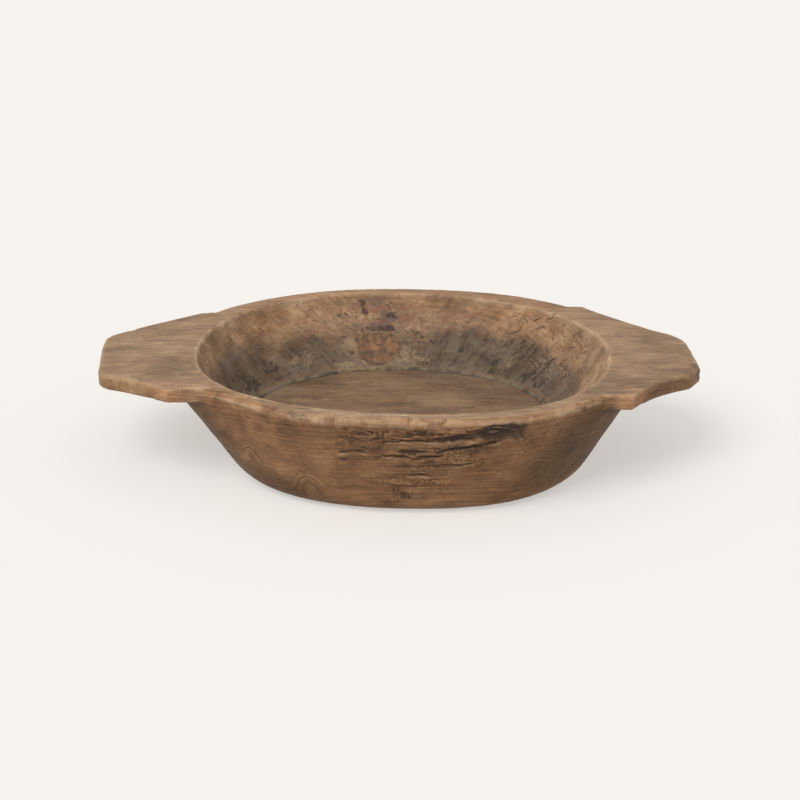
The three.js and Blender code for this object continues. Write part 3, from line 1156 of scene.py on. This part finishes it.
class Grain:
    """The masks and the textures of old wood that the log's colour and relief share."""

    MASKS = ("shell", "floor", "wall", "edge", "wear", "crevice", *(stain.value for stain in Stain))
    # The rings in metres: their middle across and up, how flat they are, their spacing and how they sway.
    PITH = (0.01, 0.19)
    SQUASH = 0.3
    RING = 0.0047
    SWAY_RATE = 230.0
    SWAY = 0.0014
    # Knots in metres: the middle, the radius and how far each one bends the rings.
    EYES = (
        ((-0.106, -0.196, 0.040), 0.036, 0.022),
        ((-0.178, -0.158, 0.062), 0.028, 0.016),
        ((0.196, -0.155, 0.034), 0.046, 0.024),
        ((0.165, -0.185, 0.062), 0.034, 0.012),
        ((-0.328, -0.080, 0.122), 0.020, 0.030),
        ((-0.292, -0.112, 0.118), 0.018, 0.030),
        ((-0.345, -0.060, 0.126), 0.014, 0.022),
    )

    def __init__(self, g: Graph) -> None:
        """Adds the masks and the textures.

        Args:
            g: The material's nodes.
        """
        self.g = g
        self.masks = {name: g.attribute(name) for name in self.MASKS}
        wind, cross = g.attribute("wind", "Vector"), g.attribute("cross", "Vector")
        self.blotch = g.noise((20, 34, 34), 5, 0.62, (3, 1, 7))
        self.smear = g.noise((13, 46, 46), 4, 0.62, (9, 2, 4))
        self.patch = g.noise((58, 58, 72), 5, 0.68, (1, 8, 3))
        self.grit = g.noise((280, 280, 280), 3, 0.65)
        self.fibre = g.noise((12, 130, 180), 5, 0.7)
        self.hairs = g.noise((60, 620, 620), 2)
        self.streak = g.noise((70, 70, 14), 5, 0.66, where=wind)
        self.scratch = g.noise((250, 250, 40), 3, 0.6, where=wind)
        bent = 0.016 * (g.noise((30, 30, 30), 2, 0.5, (5, 5, 5)) - 0.5)
        bent = g.vector("ADD", g.place, g.node("ShaderNodeCombineXYZ", None, {2: bent}))
        self.layers = g.noise((17, 90, 270), 5, 0.7, where=bent)
        self.nicks = g.cells(g.stretched((80, 80, 30), where=wind)).step(0.2, 0.1)
        self.cuts = g.cells(g.stretched((95, 95, 40), where=cross)).step(0.22, 0.12)
        self.pores = g.cells(g.stretched((36, 150, 190))).step(0.3, 0.14) * self.patch.step(0.42, 0.6)
        warped = g.vector("MULTIPLY_ADD", self._shake(g), (1.6, 1.6, 1.6), g.stretched((150, 150, 170)))
        flakes = g.cells(warped, output="Color")
        self.flakes = g.node("ShaderNodeSeparateColor", None, {"Color": flakes}, "Red")
        self.cracks = g.cells(warped, "DISTANCE_TO_EDGE").step(0.09, 0.02) * self.patch.step(0.5, 0.66)
        self._add_rings(g)

    @staticmethod
    def _shake(g: Graph) -> Wire:
        """A random vector that bends the edges of the flakes."""
        values = {"Vector": g.stretched((90, 90, 90)), "Scale": 1.0, "Detail": 3.0}
        return g.node("ShaderNodeTexNoise", None, values, "Color")

    def _add_rings(self, g: Graph) -> None:
        """Adds the growth rings round the pith, which bend round the knots, and their fine figure.

        Args:
            g: The material's nodes.
        """
        across = (g.axis(1) - self.PITH[0]) * self.SQUASH
        down = g.axis(2) - self.PITH[1]
        radius = (across * across + down * down) ** 0.5
        radius = radius + 0.026 * (g.noise((2.6, 8, 8), 3, 0.5) - 0.5) + 0.004 * (self.smear - 0.5)
        self.eyes = 0.0
        for middle, size, lift in self.EYES:
            near = g.vector("DISTANCE", g.place, middle, output="Value").step(size, 0.0)
            radius = radius + lift * near
            self.eyes = near + self.eyes
        uneven = g.math("SINE", radius * self.SWAY_RATE) * self.SWAY
        ring = g.math("FRACT", (radius + uneven) / self.RING)
        self.rings = ring.step(0.5, 0.88) * ring.step(1.0, 0.92)
        turn = g.math("ARCTAN2", across, down)
        along = g.node("ShaderNodeCombineXYZ", None, {0: g.axis(0) * 12, 1: radius * 300, 2: turn * 5})
        self.figure = g.noise((1, 1, 1), 4, 0.62, where=along)


@dataclass(frozen=True)
class LogWood:
    """The grey-brown wood of the log, with its rings, stains, rot and worn edges, and painted shade in its
    hollows and highlights on its edges.
    """

    dark: Colour = srgb(86, 64, 47)
    middle: Colour = srgb(157, 125, 94)
    light: Colour = srgb(204, 172, 137)
    smear: Colour = srgb(104, 85, 72)
    shell_tint: Colour = (0.97, 0.785, 0.655)
    rosy_tint: Colour = (1.3, 1.18, 1.17)
    edge_tint: Colour = (1.12, 1.02, 0.9)
    shade_and_cloud_tint: Colour = (0.46, 0.47, 0.42)
    floor_tint: Colour = (0.7, 0.69, 0.7)
    wall_tint: Colour = (1.2, 1.225, 1.25)
    orange_tint: Colour = (1.18, 0.98, 0.85)
    soot_and_shade_tint: Colour = (0.4, 0.42, 0.45)
    black_tint: Colour = (0.36, 0.38, 0.41)
    ash: Colour = srgb(118, 111, 102)
    tar: Colour = srgb(48, 44, 41)
    red: Colour = srgb(148, 98, 80)
    violet: Colour = srgb(122, 102, 97)
    cream: Colour = srgb(188, 158, 120)
    pale: Colour = srgb(174, 152, 120)
    rot_dark: Colour = srgb(46, 38, 31)
    rot_brown: Colour = srgb(106, 77, 55)
    rot_ochre: Colour = srgb(152, 107, 74)
    rot_straw: Colour = srgb(186, 141, 100)
    # Also the colour of the painted edge highlight.
    worn: Colour = srgb(208, 174, 138)
    groove_dark_and_shade: Colour = srgb(56, 44, 35)

    def material(self) -> bpy.types.Material:
        """Makes the finish.

        Returns:
            The material.
        """
        g = Graph(bpy.data.materials.new("log_wood"))
        grain = Grain(g)
        masks = grain.masks
        wall, decay = masks["wall"], masks["decay"]
        colour = self._plain(grain)
        colour = self._wall_stains(colour, grain)
        colour = self._rot(colour, grain)
        # Painted shade: darker in creases and hollows.
        colour = g.mix(colour, self.groove_dark_and_shade, masks["crevice"] * (0.55 + 0.3 * decay))
        # Worn edges and a painted highlight: the front edges are lightened towards the worn colour.
        rubbed_and_lit = masks["wear"] * (1 - 0.6 * decay) * (grain.blotch * 1.7 + grain.patch * 1.7 - 1.15)
        colour = g.mix(colour, self.worn, rubbed_and_lit)
        rough = 0.6 + 0.3 * (grain.fibre - 0.5) + 0.18 * decay + 0.1 * masks["soot"] - 0.1 * rubbed_and_lit
        sides = masks["shell"] + wall
        height = (grain.fibre * 0.5 + grain.hairs * 0.2) * (1 - 0.85 * sides) + grain.figure * 0.12 * sides
        height = height - grain.rings * 0.05 - grain.pores * 0.12 + grain.grit * 0.1
        cuts = grain.nicks * 0.4 + grain.cuts * 0.7 * masks["tooled"]
        strokes = grain.streak * 0.2 + grain.scratch * 0.2 - cuts
        hewn = wall * (strokes + grain.flakes * 0.12 + grain.patch * 0.5)
        height = height + hewn + decay * (grain.layers * 1.1 + grain.grit * 0.3)
        g.surface(colour, rough, g.bump(height, 1.2 * MM), 0.3)
        return g.owner

    def _plain(self, grain: Grain) -> Wire:
        """The wood's own colour, with its fibres, rings and pores, and painted shade over the shell's ends.

        Args:
            grain: The shared masks and textures.

        Returns:
            The colour.
        """
        g, masks = grain.g, grain.masks
        shell, wall, edge, red = (masks[name] for name in ("shell", "wall", "edge", "red"))
        sides = shell + wall + edge
        fibre = (grain.fibre - 0.5) * 0.65 + (grain.hairs - 0.5) * 0.6
        rings = (grain.rings - 0.2) * (grain.patch.step(0.34, 0.6) + grain.eyes) * 0.22
        figure = ((grain.figure - 0.5) * 0.6 - rings) * (1 - 0.5 * wall)
        tone = fibre * (1 - wall - 0.6 * (shell + edge)) + figure * (0.75 + 0.25 * sides) + 0.5
        tone = tone + (grain.blotch - 0.5) * (0.7 + 0.8 * sides)
        tone = tone + (grain.patch - 0.5) * (0.15 + 0.55 * sides)
        colour = g.ramp(tone, (0.0, self.dark), (0.5, self.middle), (1.0, self.light))
        colour = g.mix(colour, self.smear, grain.smear.step(0.5, 0.76) * 0.5 * (1 - 0.6 * sides))
        cloudy = shell * (grain.smear * 0.6 + grain.blotch * 0.6).step(0.62, 0.82) * 0.4
        # Painted shade from the olive marks, plus the wood's own clouding and the dark halos round its
        # knots.
        shade = masks["olive"] * (1 - red) * (0.5 + 0.9 * grain.blotch) + cloudy
        shade = shade + grain.eyes * (0.3 + grain.rings * grain.patch) * shell * 0.6
        tints = (
            (self.shell_tint, shell * (1 - red) * (0.55 + 0.7 * grain.patch)),
            (self.rosy_tint, red * (1 - wall)),
            (self.edge_tint, edge),
            (self.shade_and_cloud_tint, shade),
            (self.floor_tint, masks["floor"] * (0.5 + 0.8 * grain.smear)),
        )
        for tint, share in tints:
            colour = g.mix(colour, tint, share, "MULTIPLY")
        return g.mix(colour, self.groove_dark_and_shade, grain.pores * 0.55)

    def _wall_stains(self, colour: Wire, grain: Grain) -> Wire:
        """Lays soot, which on the right is painted shade as well, and the colours of old dough and smoke
        over the inner wall.

        Args:
            colour: The wood's own colour.
            grain: The shared masks and textures.

        Returns:
            The stained colour.
        """
        g, masks = grain.g, grain.masks
        wall, soot = masks["wall"], masks["soot"]
        colour = g.mix(colour, self.wall_tint, wall, "MULTIPLY")
        colour = g.mix(colour, self.orange_tint, masks["orange"] * grain.patch.step(0.3, 0.65), "MULTIPLY")
        specks = grain.grit.step(0.4, 0.28) * grain.patch.step(0.38, 0.58)
        flaky = masks["red"] * (0.5 + grain.patch) * wall
        strokes = grain.nicks * grain.patch.step(0.42, 0.6) + grain.cuts * masks["tooled"]
        coats = (
            (self.groove_dark_and_shade, wall * grain.streak.step(0.46, 0.26) * 0.2),
            (self.groove_dark_and_shade, wall * grain.scratch.step(0.44, 0.3) * 0.35),
            (self.cream, wall * grain.scratch.step(0.58, 0.74) * 0.3),
            (self.groove_dark_and_shade, wall * specks * 0.5),
            (self.red, flaky * (grain.flakes + grain.blotch - 0.5).step(0.3, 0.6) * 0.75),
            (self.violet, flaky * (grain.blotch + 0.3 * grain.flakes).step(0.6, 0.5) * 0.72),
            (self.cream, flaky * (grain.patch + 0.25 * grain.flakes).step(0.66, 0.76) * 0.7),
            (self.groove_dark_and_shade, flaky * (grain.cracks + grain.grit.step(0.36, 0.26)) * 0.7),
            # Painted shade in the nicks and chisel cuts that the bump draws.
            (self.groove_dark_and_shade, wall * strokes * 0.55),
        )
        for coat, share in coats:
            colour = g.mix(colour, coat, share)
        # Soot, strongest on the right, where it is painted shade as well.
        rise = soot * 1.15 + (grain.streak - 0.5) + (grain.patch - 0.5) * 2.1
        where = wall + masks["floor"] * 0.35
        colour = g.mix(colour, self.soot_and_shade_tint, rise.step(-0.05, 1.35) * where, "MULTIPLY")
        dusty = rise.step(0.5, 1.3) * (grain.blotch * 1.4 + grain.scratch * 1.2 + grain.grit * 0.5 - 1.3)
        colour = g.mix(colour, self.ash, dusty * where * 0.8)
        stroked = grain.streak * 0.3 + grain.scratch * 0.35 + grain.patch * 0.35
        sooty = (soot + (grain.blotch - 0.5) * 0.8).step(0.45, 1.0) * stroked.step(0.52, 0.38) * 0.65
        colour = g.mix(colour, self.black_tint, sooty * wall, "MULTIPLY")
        dough = masks["pale"] + (grain.grit - 0.5) * 2.2 + (grain.flakes - 0.5) * 0.7
        return g.mix(colour, self.pale, dough.step(0.55, 1.25) * 0.62)

    def _rot(self, colour: Wire, grain: Grain) -> Wire:
        """Lays the split, darkened layers of the rotten band over the outer wall, dark rot and painted
        shade in its pits, and tar over all of it.

        Args:
            colour: The colour so far.
            grain: The shared masks and textures.

        Returns:
            The colour with the rot.
        """
        g, masks = grain.g, grain.masks
        pit = masks["pit"]
        layers, grit, patch = grain.layers - 0.5, grain.grit - 0.5, grain.patch - 0.5
        rotten = (masks["decay"] + layers * 1.1 + patch * 1.4).step(0.25, 0.95)
        bands = g.ramp(
            (grain.layers + grit * 0.7 + patch * 0.4).step(0.28, 0.7),
            (0.18, self.rot_dark), (0.46, self.rot_brown), (0.68, self.rot_ochre), (0.95, self.rot_straw))
        colour = g.mix(colour, bands, rotten * 0.88)
        # Painted shade in the pits, with dark rot: the holes are darkened.
        hole_rot_and_shade = pit * 0.75 + grit * 1.5 + layers * 1.7 + patch * 1.2
        colour = g.mix(colour, self.rot_dark, pit.step(0.02, 0.2) * hole_rot_and_shade.step(0.2, 0.9) * 0.8)
        # Tar drops; over the outer pits they are painted shade in the holes as well.
        tar_and_pit_shade = masks["tar"] + grit * 2.0 + (grain.flakes - 0.5) * 0.8
        return g.mix(colour, self.tar, tar_and_pit_shade.step(0.4, 1.0) * 0.75)


@dataclass(frozen=True)
class LetInWood:
    """A piece of other wood let into the log, with its own grain, a grimy face and painted shade in its
    creases.
    """

    name: str
    dark: Colour
    light: Colour
    grime_and_shade: Colour
    grain: tuple[float, float, float] = (12, 260, 260)
    grime_share: float = 0.5
    heart: Optional[tuple[float, float, float]] = None
    ring_width: float = 0.0034

    def material(self) -> bpy.types.Material:
        """Makes the finish.

        Returns:
            The material, with rings round the heart where it has one.
        """
        g = Graph(bpy.data.materials.new(self.name))
        fibre = g.noise(self.grain, 4, 0.62)
        fleck = g.noise((190, 260, 260), 3, 0.65)
        blotch = g.noise((70, 70, 70), 4, 0.65, (4, 4, 4))
        tone = fibre * 0.9 + blotch * 0.5 - 0.2
        if self.heart is not None:
            away = g.vector("DISTANCE", g.place, self.heart, output="Value") + 0.014 * (blotch - 0.5)
            ring = g.math("FRACT", away / self.ring_width)
            tone = tone - 0.2 * ring.step(0.4, 0.9) * ring.step(1.0, 0.92) * fleck.step(0.4, 0.6)
        colour = g.mix(self.dark, self.light, tone.step(0.2, 0.85))
        dirt = (blotch * 0.6 + fleck * 0.6).step(0.66, 0.42) * self.grime_share
        # Grime, and painted shade in the creases taken from the blank.
        colour = g.mix(colour, self.grime_and_shade, dirt + g.attribute("crevice") * 0.4)
        rough = 0.6 + 0.25 * (fleck - 0.5)
        g.surface(colour, rough, g.bump(fibre * 0.6 + fleck * 0.4, 1.0 * MM), 0.3)
        return g.owner


@dataclass(frozen=True)
class Filling:
    """Pitch, putty or caked dough pressed into a joint."""

    name: str
    dark: Colour
    light: Colour
    crust: Colour
    crust_share: float
    roughness: float
    lump_size: float = 0.012

    def material(self) -> bpy.types.Material:
        """Makes the finish.

        Returns:
            The material.
        """
        g = Graph(bpy.data.materials.new(self.name))
        lump = 1 / self.lump_size
        lumps = g.noise((lump, lump, 2 * lump), 4, 0.65)
        grit = g.noise((420, 420, 420), 3, 0.6, (2, 6, 1))
        colour = g.mix(self.dark, self.light, (lumps * 0.7 + grit * 0.4).step(0.3, 0.8))
        caked = g.noise((lump, lump, lump), 3, 0.6, (7, 3, 5)) * 0.8 + grit * 0.3
        colour = g.mix(colour, self.crust, caked.step(0.45, 0.62) * self.crust_share)
        rough = self.roughness + 0.3 * (grit - 0.5)
        g.surface(colour, rough, g.bump(lumps * 0.6 + grit * 0.4, 1.2 * MM), 0.35)
        return g.owner


@dataclass
class Seat:
    """An upright frame on the bowl that a let-in piece is cut in, in millimetres."""

    middle: Vector
    out: Vector
    along: Vector

    def matrix(self, x: float, y: float, z: float) -> Matrix:
        """The seat's place and directions, with a scale.

        Args:
            x: The scale along the seat.
            y: The scale across it.
            z: The scale out of the wood.

        Returns:
            The matrix from a shape of one unit to metres.
        """
        out = self.out.normalized()
        along = (self.along - out * self.along.dot(out)).normalized()
        axes = Matrix((along, out.cross(along), out)).transposed().to_4x4()
        return Matrix.Translation(self.middle * MM) @ axes @ Matrix.Diagonal((x * MM, y * MM, z * MM, 1.0))


OVAL_SIDES = 72
OVAL_WAVES = ((0.05, 3, 1), (0.03, 5, 2), (0.02, 9, 0))


def oval_cutter(seat: Seat, length: float, height: float, depth: float, reach: float) -> bmesh.types.BMesh:
    """An oval plug that runs from a depth in the wood out into the open.

    Args:
        seat: Where the plug's face lies and which way it looks.
        length: Its length, in millimetres.
        height: Its height.
        depth: How deep it goes.
        reach: How far it runs out of the wood.

    Returns:
        The shape.
    """
    shape = bmesh.new()
    bmesh.ops.create_cone(
        shape, cap_ends=True, segments=OVAL_SIDES, radius1=0.5, radius2=0.5, depth=1.0,
        matrix=Matrix.Translation((0, 0, 0.5)))
    for vertex in shape.verts:
        turn = math.atan2(vertex.co.y, vertex.co.x)
        uneven = sum(size * math.sin(waves * turn + start) for size, waves, start in OVAL_WAVES)
        vertex.co.xy *= 1 + uneven
    sunk = Matrix.Translation((0, 0, -depth / (depth + reach)))
    for matrix in (sunk, seat.matrix(length, height, depth + reach)):
        bmesh.ops.transform(shape, matrix=matrix, verts=shape.verts)
    return shape


def block_cutter(seat: Seat, low: Sequence[float], high: Sequence[float]) -> bmesh.types.BMesh:
    """A block between two corners.

    Args:
        seat: The directions that it is measured in.
        low: The corner at its left, front and bottom, in millimetres from the seat's middle.
        high: The opposite corner.

    Returns:
        The shape.
    """
    shape = bmesh.new()
    bmesh.ops.create_cube(shape, size=1.0, matrix=Matrix.Translation((0.5, 0.5, 0.5)))
    sizes = [b - a for a, b in zip(low, high)]
    bmesh.ops.scale(shape, vec=sizes, verts=shape.verts)
    bmesh.ops.translate(shape, vec=low, verts=shape.verts)
    bmesh.ops.transform(shape, matrix=seat.matrix(1, 1, 1), verts=shape.verts)
    return shape


def middle_of(node: str) -> Vector:
    """The middle of a frame node's box, in millimetres."""
    low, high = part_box(node)
    return (Vector(low) + Vector(high)) / (2 * MM)


@dataclass
class WallRepair:
    """The oval plug in the back of the hollow and the pitch that it is bedded in, in millimetres."""

    length: float = 53.0
    height: float = 40.0
    depth: float = 6.5
    reach: float = 40.0
    pitch_width: float = 3.0
    pitch_depth: float = 2.0
    gap: float = 0.3
    out: tuple[float, float, float] = (0.06, -0.842, 0.536)
    wood: LetInWood = LetInWood(
        "plug_wood", srgb(102, 76, 57), srgb(178, 131, 92), srgb(92, 77, 65), (90, 90, 60), 1.0)
    pitch: Filling = Filling(
        "pitch", srgb(82, 70, 59), srgb(130, 105, 82), srgb(152, 119, 90), 1.0, 0.7, 0.022)

    def _cutter(self, grow: float, deeper: float) -> bmesh.types.BMesh:
        """The plug's shape, or a larger one.

        Args:
            grow: How much larger it is all round, in millimetres.
            deeper: How much deeper it goes.

        Returns:
            The shape.
        """
        seat = Seat(middle_of("wall_knot_plug"), Vector(self.out), Vector((1, 0, 0)))
        return oval_cutter(
            seat, self.length + 2 * grow, self.height + 2 * grow, self.depth + deeper, self.reach)

    def pockets(self) -> list[bmesh.types.BMesh]:
        """The shapes to take out of the log."""
        return [self._cutter(self.pitch_width + 2 * self.gap, self.pitch_depth + 2 * self.gap)]

    def build(self, blank: Blank) -> None:
        """Cuts the plug and its pitch from the blank and dresses them.

        Args:
            blank: The worn log.
        """
        plug = carved(blank.mesh, self._cutter(0.0, 0.0), "INTERSECT")
        blank.stain(plug)
        add_piece("knot_plug", plug, self.wood.material(), "wall_knot_plug")
        around = self._cutter(self.pitch_width + self.gap, self.pitch_depth + self.gap)
        bed = carved(blank.mesh, around, "INTERSECT")
        bed = carved(bed, self._cutter(self.gap, self.gap), "DIFFERENCE")
        add_piece("plug_pitch", bed, self.pitch.material(), "wall_plug_pitch")


@dataclass
class RimRepair:
    """The strip let into the front rim, the putty behind it and the knot beside it, in millimetres."""

    patch_inner: float = 6.8
    patch_half: float = 43.0
    patch_depth: float = 5.1
    putty_width: float = 2.0
    knot_length: float = 26.0
    knot_width: float = 10.0
    knot_depth: float = 6.0
    reach: float = 40.0
    gap: float = 0.3
    turn: float = 4.6
    patch_wood: LetInWood = LetInWood(
        "patch_wood", srgb(146, 108, 78), srgb(202, 162, 124), srgb(104, 80, 60), (11, 300, 300), 0.35)
    putty: Filling = Filling(
        "rim_putty", srgb(186, 172, 152), srgb(226, 218, 204), srgb(150, 124, 96), 0.5, 0.75)
    knot_wood: LetInWood = LetInWood(
        "knot_wood", srgb(150, 114, 85), srgb(200, 160, 124), srgb(120, 92, 70), (40, 200, 200), 0.25,
        heart=(0.051, -0.229, 0.13), ring_width=0.0026)
    patch_seat: Seat = field(init=False)
    knot_seat: Seat = field(init=False)

    def __post_init__(self) -> None:
        """Sets the two seats on the frame's own pieces."""
        angle = math.radians(-self.turn)
        along = Vector((math.cos(angle), math.sin(angle), 0))
        self.patch_seat = Seat(middle_of("rim_patch"), Vector((0, 0, 1)), along)
        self.knot_seat = Seat(middle_of("rim_knot"), Vector((0, 0, 1)), Vector((1, 0, 0)))

    def _patch(self, grow: float, inner: float) -> bmesh.types.BMesh:
        """The strip's block.

        Args:
            grow: How much longer at each end and deeper it is, in millimetres.
            inner: How far behind its middle it ends.

        Returns:
            The shape.
        """
        half = self.patch_half + grow
        low = (-half, -self.reach, -self.patch_depth - grow)
        return block_cutter(self.patch_seat, low, (half, inner, self.reach))

    def _putty(self, grow: float) -> bmesh.types.BMesh:
        """The block of putty behind the strip.

        Args:
            grow: How much larger it is on each side, in millimetres.

        Returns:
            The shape.
        """
        half = self.patch_half + grow
        start = self.patch_inner + self.gap
        low = (-half, start - grow, -self.patch_depth - grow)
        return block_cutter(self.patch_seat, low, (half, start + self.putty_width + grow, self.reach))

    def _knot(self, grow: float) -> bmesh.types.BMesh:
        """The knot's oval plug, larger all round by some millimetres."""
        length, width = self.knot_length + 2 * grow, self.knot_width + 2 * grow
        return oval_cutter(self.knot_seat, length, width, self.knot_depth + grow, self.reach)

    def pockets(self) -> list[bmesh.types.BMesh]:
        """The shapes to take out of the log."""
        inner = self.patch_inner + self.putty_width + 2 * self.gap
        return [self._patch(self.gap, inner), self._knot(self.gap)]

    def build(self, blank: Blank) -> None:
        """Cuts the strip, the putty and the knot from the blank and dresses them.

        Args:
            blank: The worn log.
        """
        rows = (
            ("rim_strip", self._patch(0.0, self.patch_inner), self.patch_wood, "rim_patch", "patch_wood"),
            ("rim_putty", self._putty(0.0), self.putty, "rim_patch_filler", "pale_filler"),
            ("rim_eye_knot", self._knot(0.0), self.knot_wood, "rim_knot", "knot_wood"),
        )
        for name, cutter, finish, node, slot in rows:
            mesh = carved(blank.mesh, cutter, "INTERSECT")
            blank.stain(mesh)
            add_piece(name, mesh, finish.material(), node)


@dataclass
class FloorEdge:
    """The filler in the corner between wall and floor, and the thin shim in it, in millimetres."""

    cuts: int = 3
    lump: float = 0.35
    lump_size: tuple[float, float, float] = (9, 9, 5)
    lumps: Lattice = field(default_factory=lambda: Lattice(21))
    bead: Filling = Filling(
        "corner_filler", srgb(70, 60, 51), srgb(112, 97, 81), srgb(154, 136, 113), 0.5, 0.85, 0.016)
    shim: LetInWood = LetInWood(
        "shim_wood", srgb(112, 92, 70), srgb(176, 152, 122), srgb(80, 68, 56), (16, 320, 320), 0.5)

    def build(self, blank: Blank) -> None:
        """Makes the bead and the shim lumpy and dresses them.

        Args:
            blank: The worn log that they lie in.
        """
        rows = (
            ("floor_edge_bead", self.bead, "floor_corner_filler", "corner_filler"),
            ("floor_edge_shim", self.shim, "floor_corner_shim", "shim_wood"),
        )
        for name, finish, node, slot in rows:
            shape = merged_copy(node, self.lump * MM)
            bmesh.ops.subdivide_edges(shape, edges=shape.edges, cuts=self.cuts, use_grid_fill=True)
            mesh = keep(shape, name)
            place, normal = coordinates(mesh), directions(mesh)
            place += normal * self.lump * self.lumps.at(place, self.lump_size, 2)[:, None]
            move_to(mesh, place)
            blank.stain(mesh)
            add_piece(name, mesh, finish.material(), node)


@dataclass
class HollowedLog:
    """The bowl itself: the blank with seats cut for the pieces let into it."""

    finish: LogWood = LogWood()

    def build(self, blank: Blank, pockets: Sequence[bmesh.types.BMesh]) -> None:
        """Cuts the seats, stains the wood and dresses it.

        Args:
            blank: The worn log.
            pockets: The shapes to take out of it.
        """
        mesh = blank.mesh
        for pocket in pockets:
            mesh = carved(mesh, pocket, "DIFFERENCE")
        blank.stain(mesh)
        add_piece("hollowed_log", mesh, self.finish.material(), "carved_bowl")


@dataclass
class Studio:
    """A pale floor and sky, one soft lamp from the upper left and the camera, in metres and degrees."""

    page: Colour = srgb(246, 242, 237)
    sky_strength: float = 0.55
    lamp_strength: float = 1.5
    lamp_angle: float = 38.0
    lamp_from: tuple[float, float, float] = (-0.5, -0.55, 1.0)
    floor_share: float = 0.5
    floor_glow: float = 0.54
    floor_size: float = 16.0
    camera_lift: float = 22.0
    camera_distance: float = 2.6
    camera_target: tuple[float, float, float] = (0.0035, 0.0, 0.062)
    lens: float = 92.37
    sensor: float = 36.0

    def build(self) -> None:
        """Makes everything that isn't part of the object."""
        bpy.context.scene.view_settings.view_transform = "Standard"
        self._set_camera()
        self._set_sky()
        self._set_lamp()
        self._lay_floor()

    def _set_camera(self) -> None:
        """Points the camera at the bowl from the front and above."""
        data = bpy.data.cameras.new("camera")
        data.lens = self.lens
        data.sensor_width = self.sensor
        camera = bpy.data.objects.new("camera", data)
        lift = math.radians(self.camera_lift)
        back = Vector((0.0, -math.cos(lift), math.sin(lift))) * self.camera_distance
        camera.location = Vector(self.camera_target) + back
        camera.rotation_euler = (math.pi / 2 - lift, 0.0, 0.0)
        bpy.context.scene.collection.objects.link(camera)
        bpy.context.scene.camera = camera

    @staticmethod
    def _seen(g: Graph) -> Wire:
        """Tells what shows the surroundings from what they light.

        Args:
            g: The nodes of the floor or the sky.

        Returns:
            1 for a ray that shows them as they look, 0 for one that carries their light.
        """
        rays = ("Is Camera Ray", "Is Glossy Ray", "Is Transmission Ray")
        camera, glossy, through = (g.node("ShaderNodeLightPath", None, None, ray) for ray in rays)
        return g.math("MINIMUM", camera + glossy + through, 1.0)

    def _set_sky(self) -> None:
        """Lights the scene evenly, and looks like the page itself."""
        world = bpy.data.worlds.new("sky")
        g = Graph(world)
        glow = g.node("ShaderNodeBackground", None, {"Color": (1, 1, 1), "Strength": self.sky_strength})
        page = g.node("ShaderNodeBackground", None, {"Color": self.page, "Strength": 1.0})
        shader = g.node("ShaderNodeMixShader", None, {0: self._seen(g), 1: glow, 2: page})
        g.end("ShaderNodeOutputWorld", shader)
        bpy.context.scene.world = world

    def _set_lamp(self) -> None:
        """Hangs the soft lamp."""
        data = bpy.data.lights.new("lamp", "SUN")
        data.energy = self.lamp_strength
        data.angle = math.radians(self.lamp_angle)
        lamp = bpy.data.objects.new("lamp", data)
        lamp.rotation_euler = Vector(self.lamp_from).to_track_quat("Z", "Y").to_euler()
        lamp.location = self.lamp_from
        bpy.context.scene.collection.objects.link(lamp)

    def _lay_floor(self) -> None:
        """Lays the floor, which takes the bowl's shadow."""
        shape = bmesh.new()
        bmesh.ops.create_grid(shape, x_segments=1, y_segments=1, size=self.floor_size / 2)
        floor = bpy.data.objects.new("floor", keep(shape, "floor"))
        g = Graph(bpy.data.materials.new("floor_paper"))
        shade = tuple(share * self.floor_share for share in self.page)
        paper = g.node("ShaderNodeBsdfDiffuse", None, {"Color": shade})
        glow = g.node("ShaderNodeEmission", None, {"Color": self.page, "Strength": self.floor_glow})
        dark = g.node("ShaderNodeEmission", None, {"Color": (0, 0, 0), "Strength": 0.0})
        lift = g.node("ShaderNodeMixShader", None, {0: self._seen(g), 1: dark, 2: glow})
        g.end("ShaderNodeOutputMaterial", g.node("ShaderNodeAddShader", None, {0: paper, 1: lift}))
        floor.data.materials.append(g.owner)
        bpy.context.scene.collection.objects.link(floor)


def main() -> None:
    """Builds the studio and the bowl with its let-in pieces."""
    logging.basicConfig(level=logging.INFO, format="%(name)s %(message)s")
    Studio().build()
    blank = Blank()
    blank.build()
    wall_repair, rim_repair = WallRepair(), RimRepair()
    HollowedLog().build(blank, wall_repair.pockets() + rim_repair.pockets())
    wall_repair.build(blank)
    rim_repair.build(blank)
    FloorEdge().build(blank)


if __name__ == "__main__":
    main()
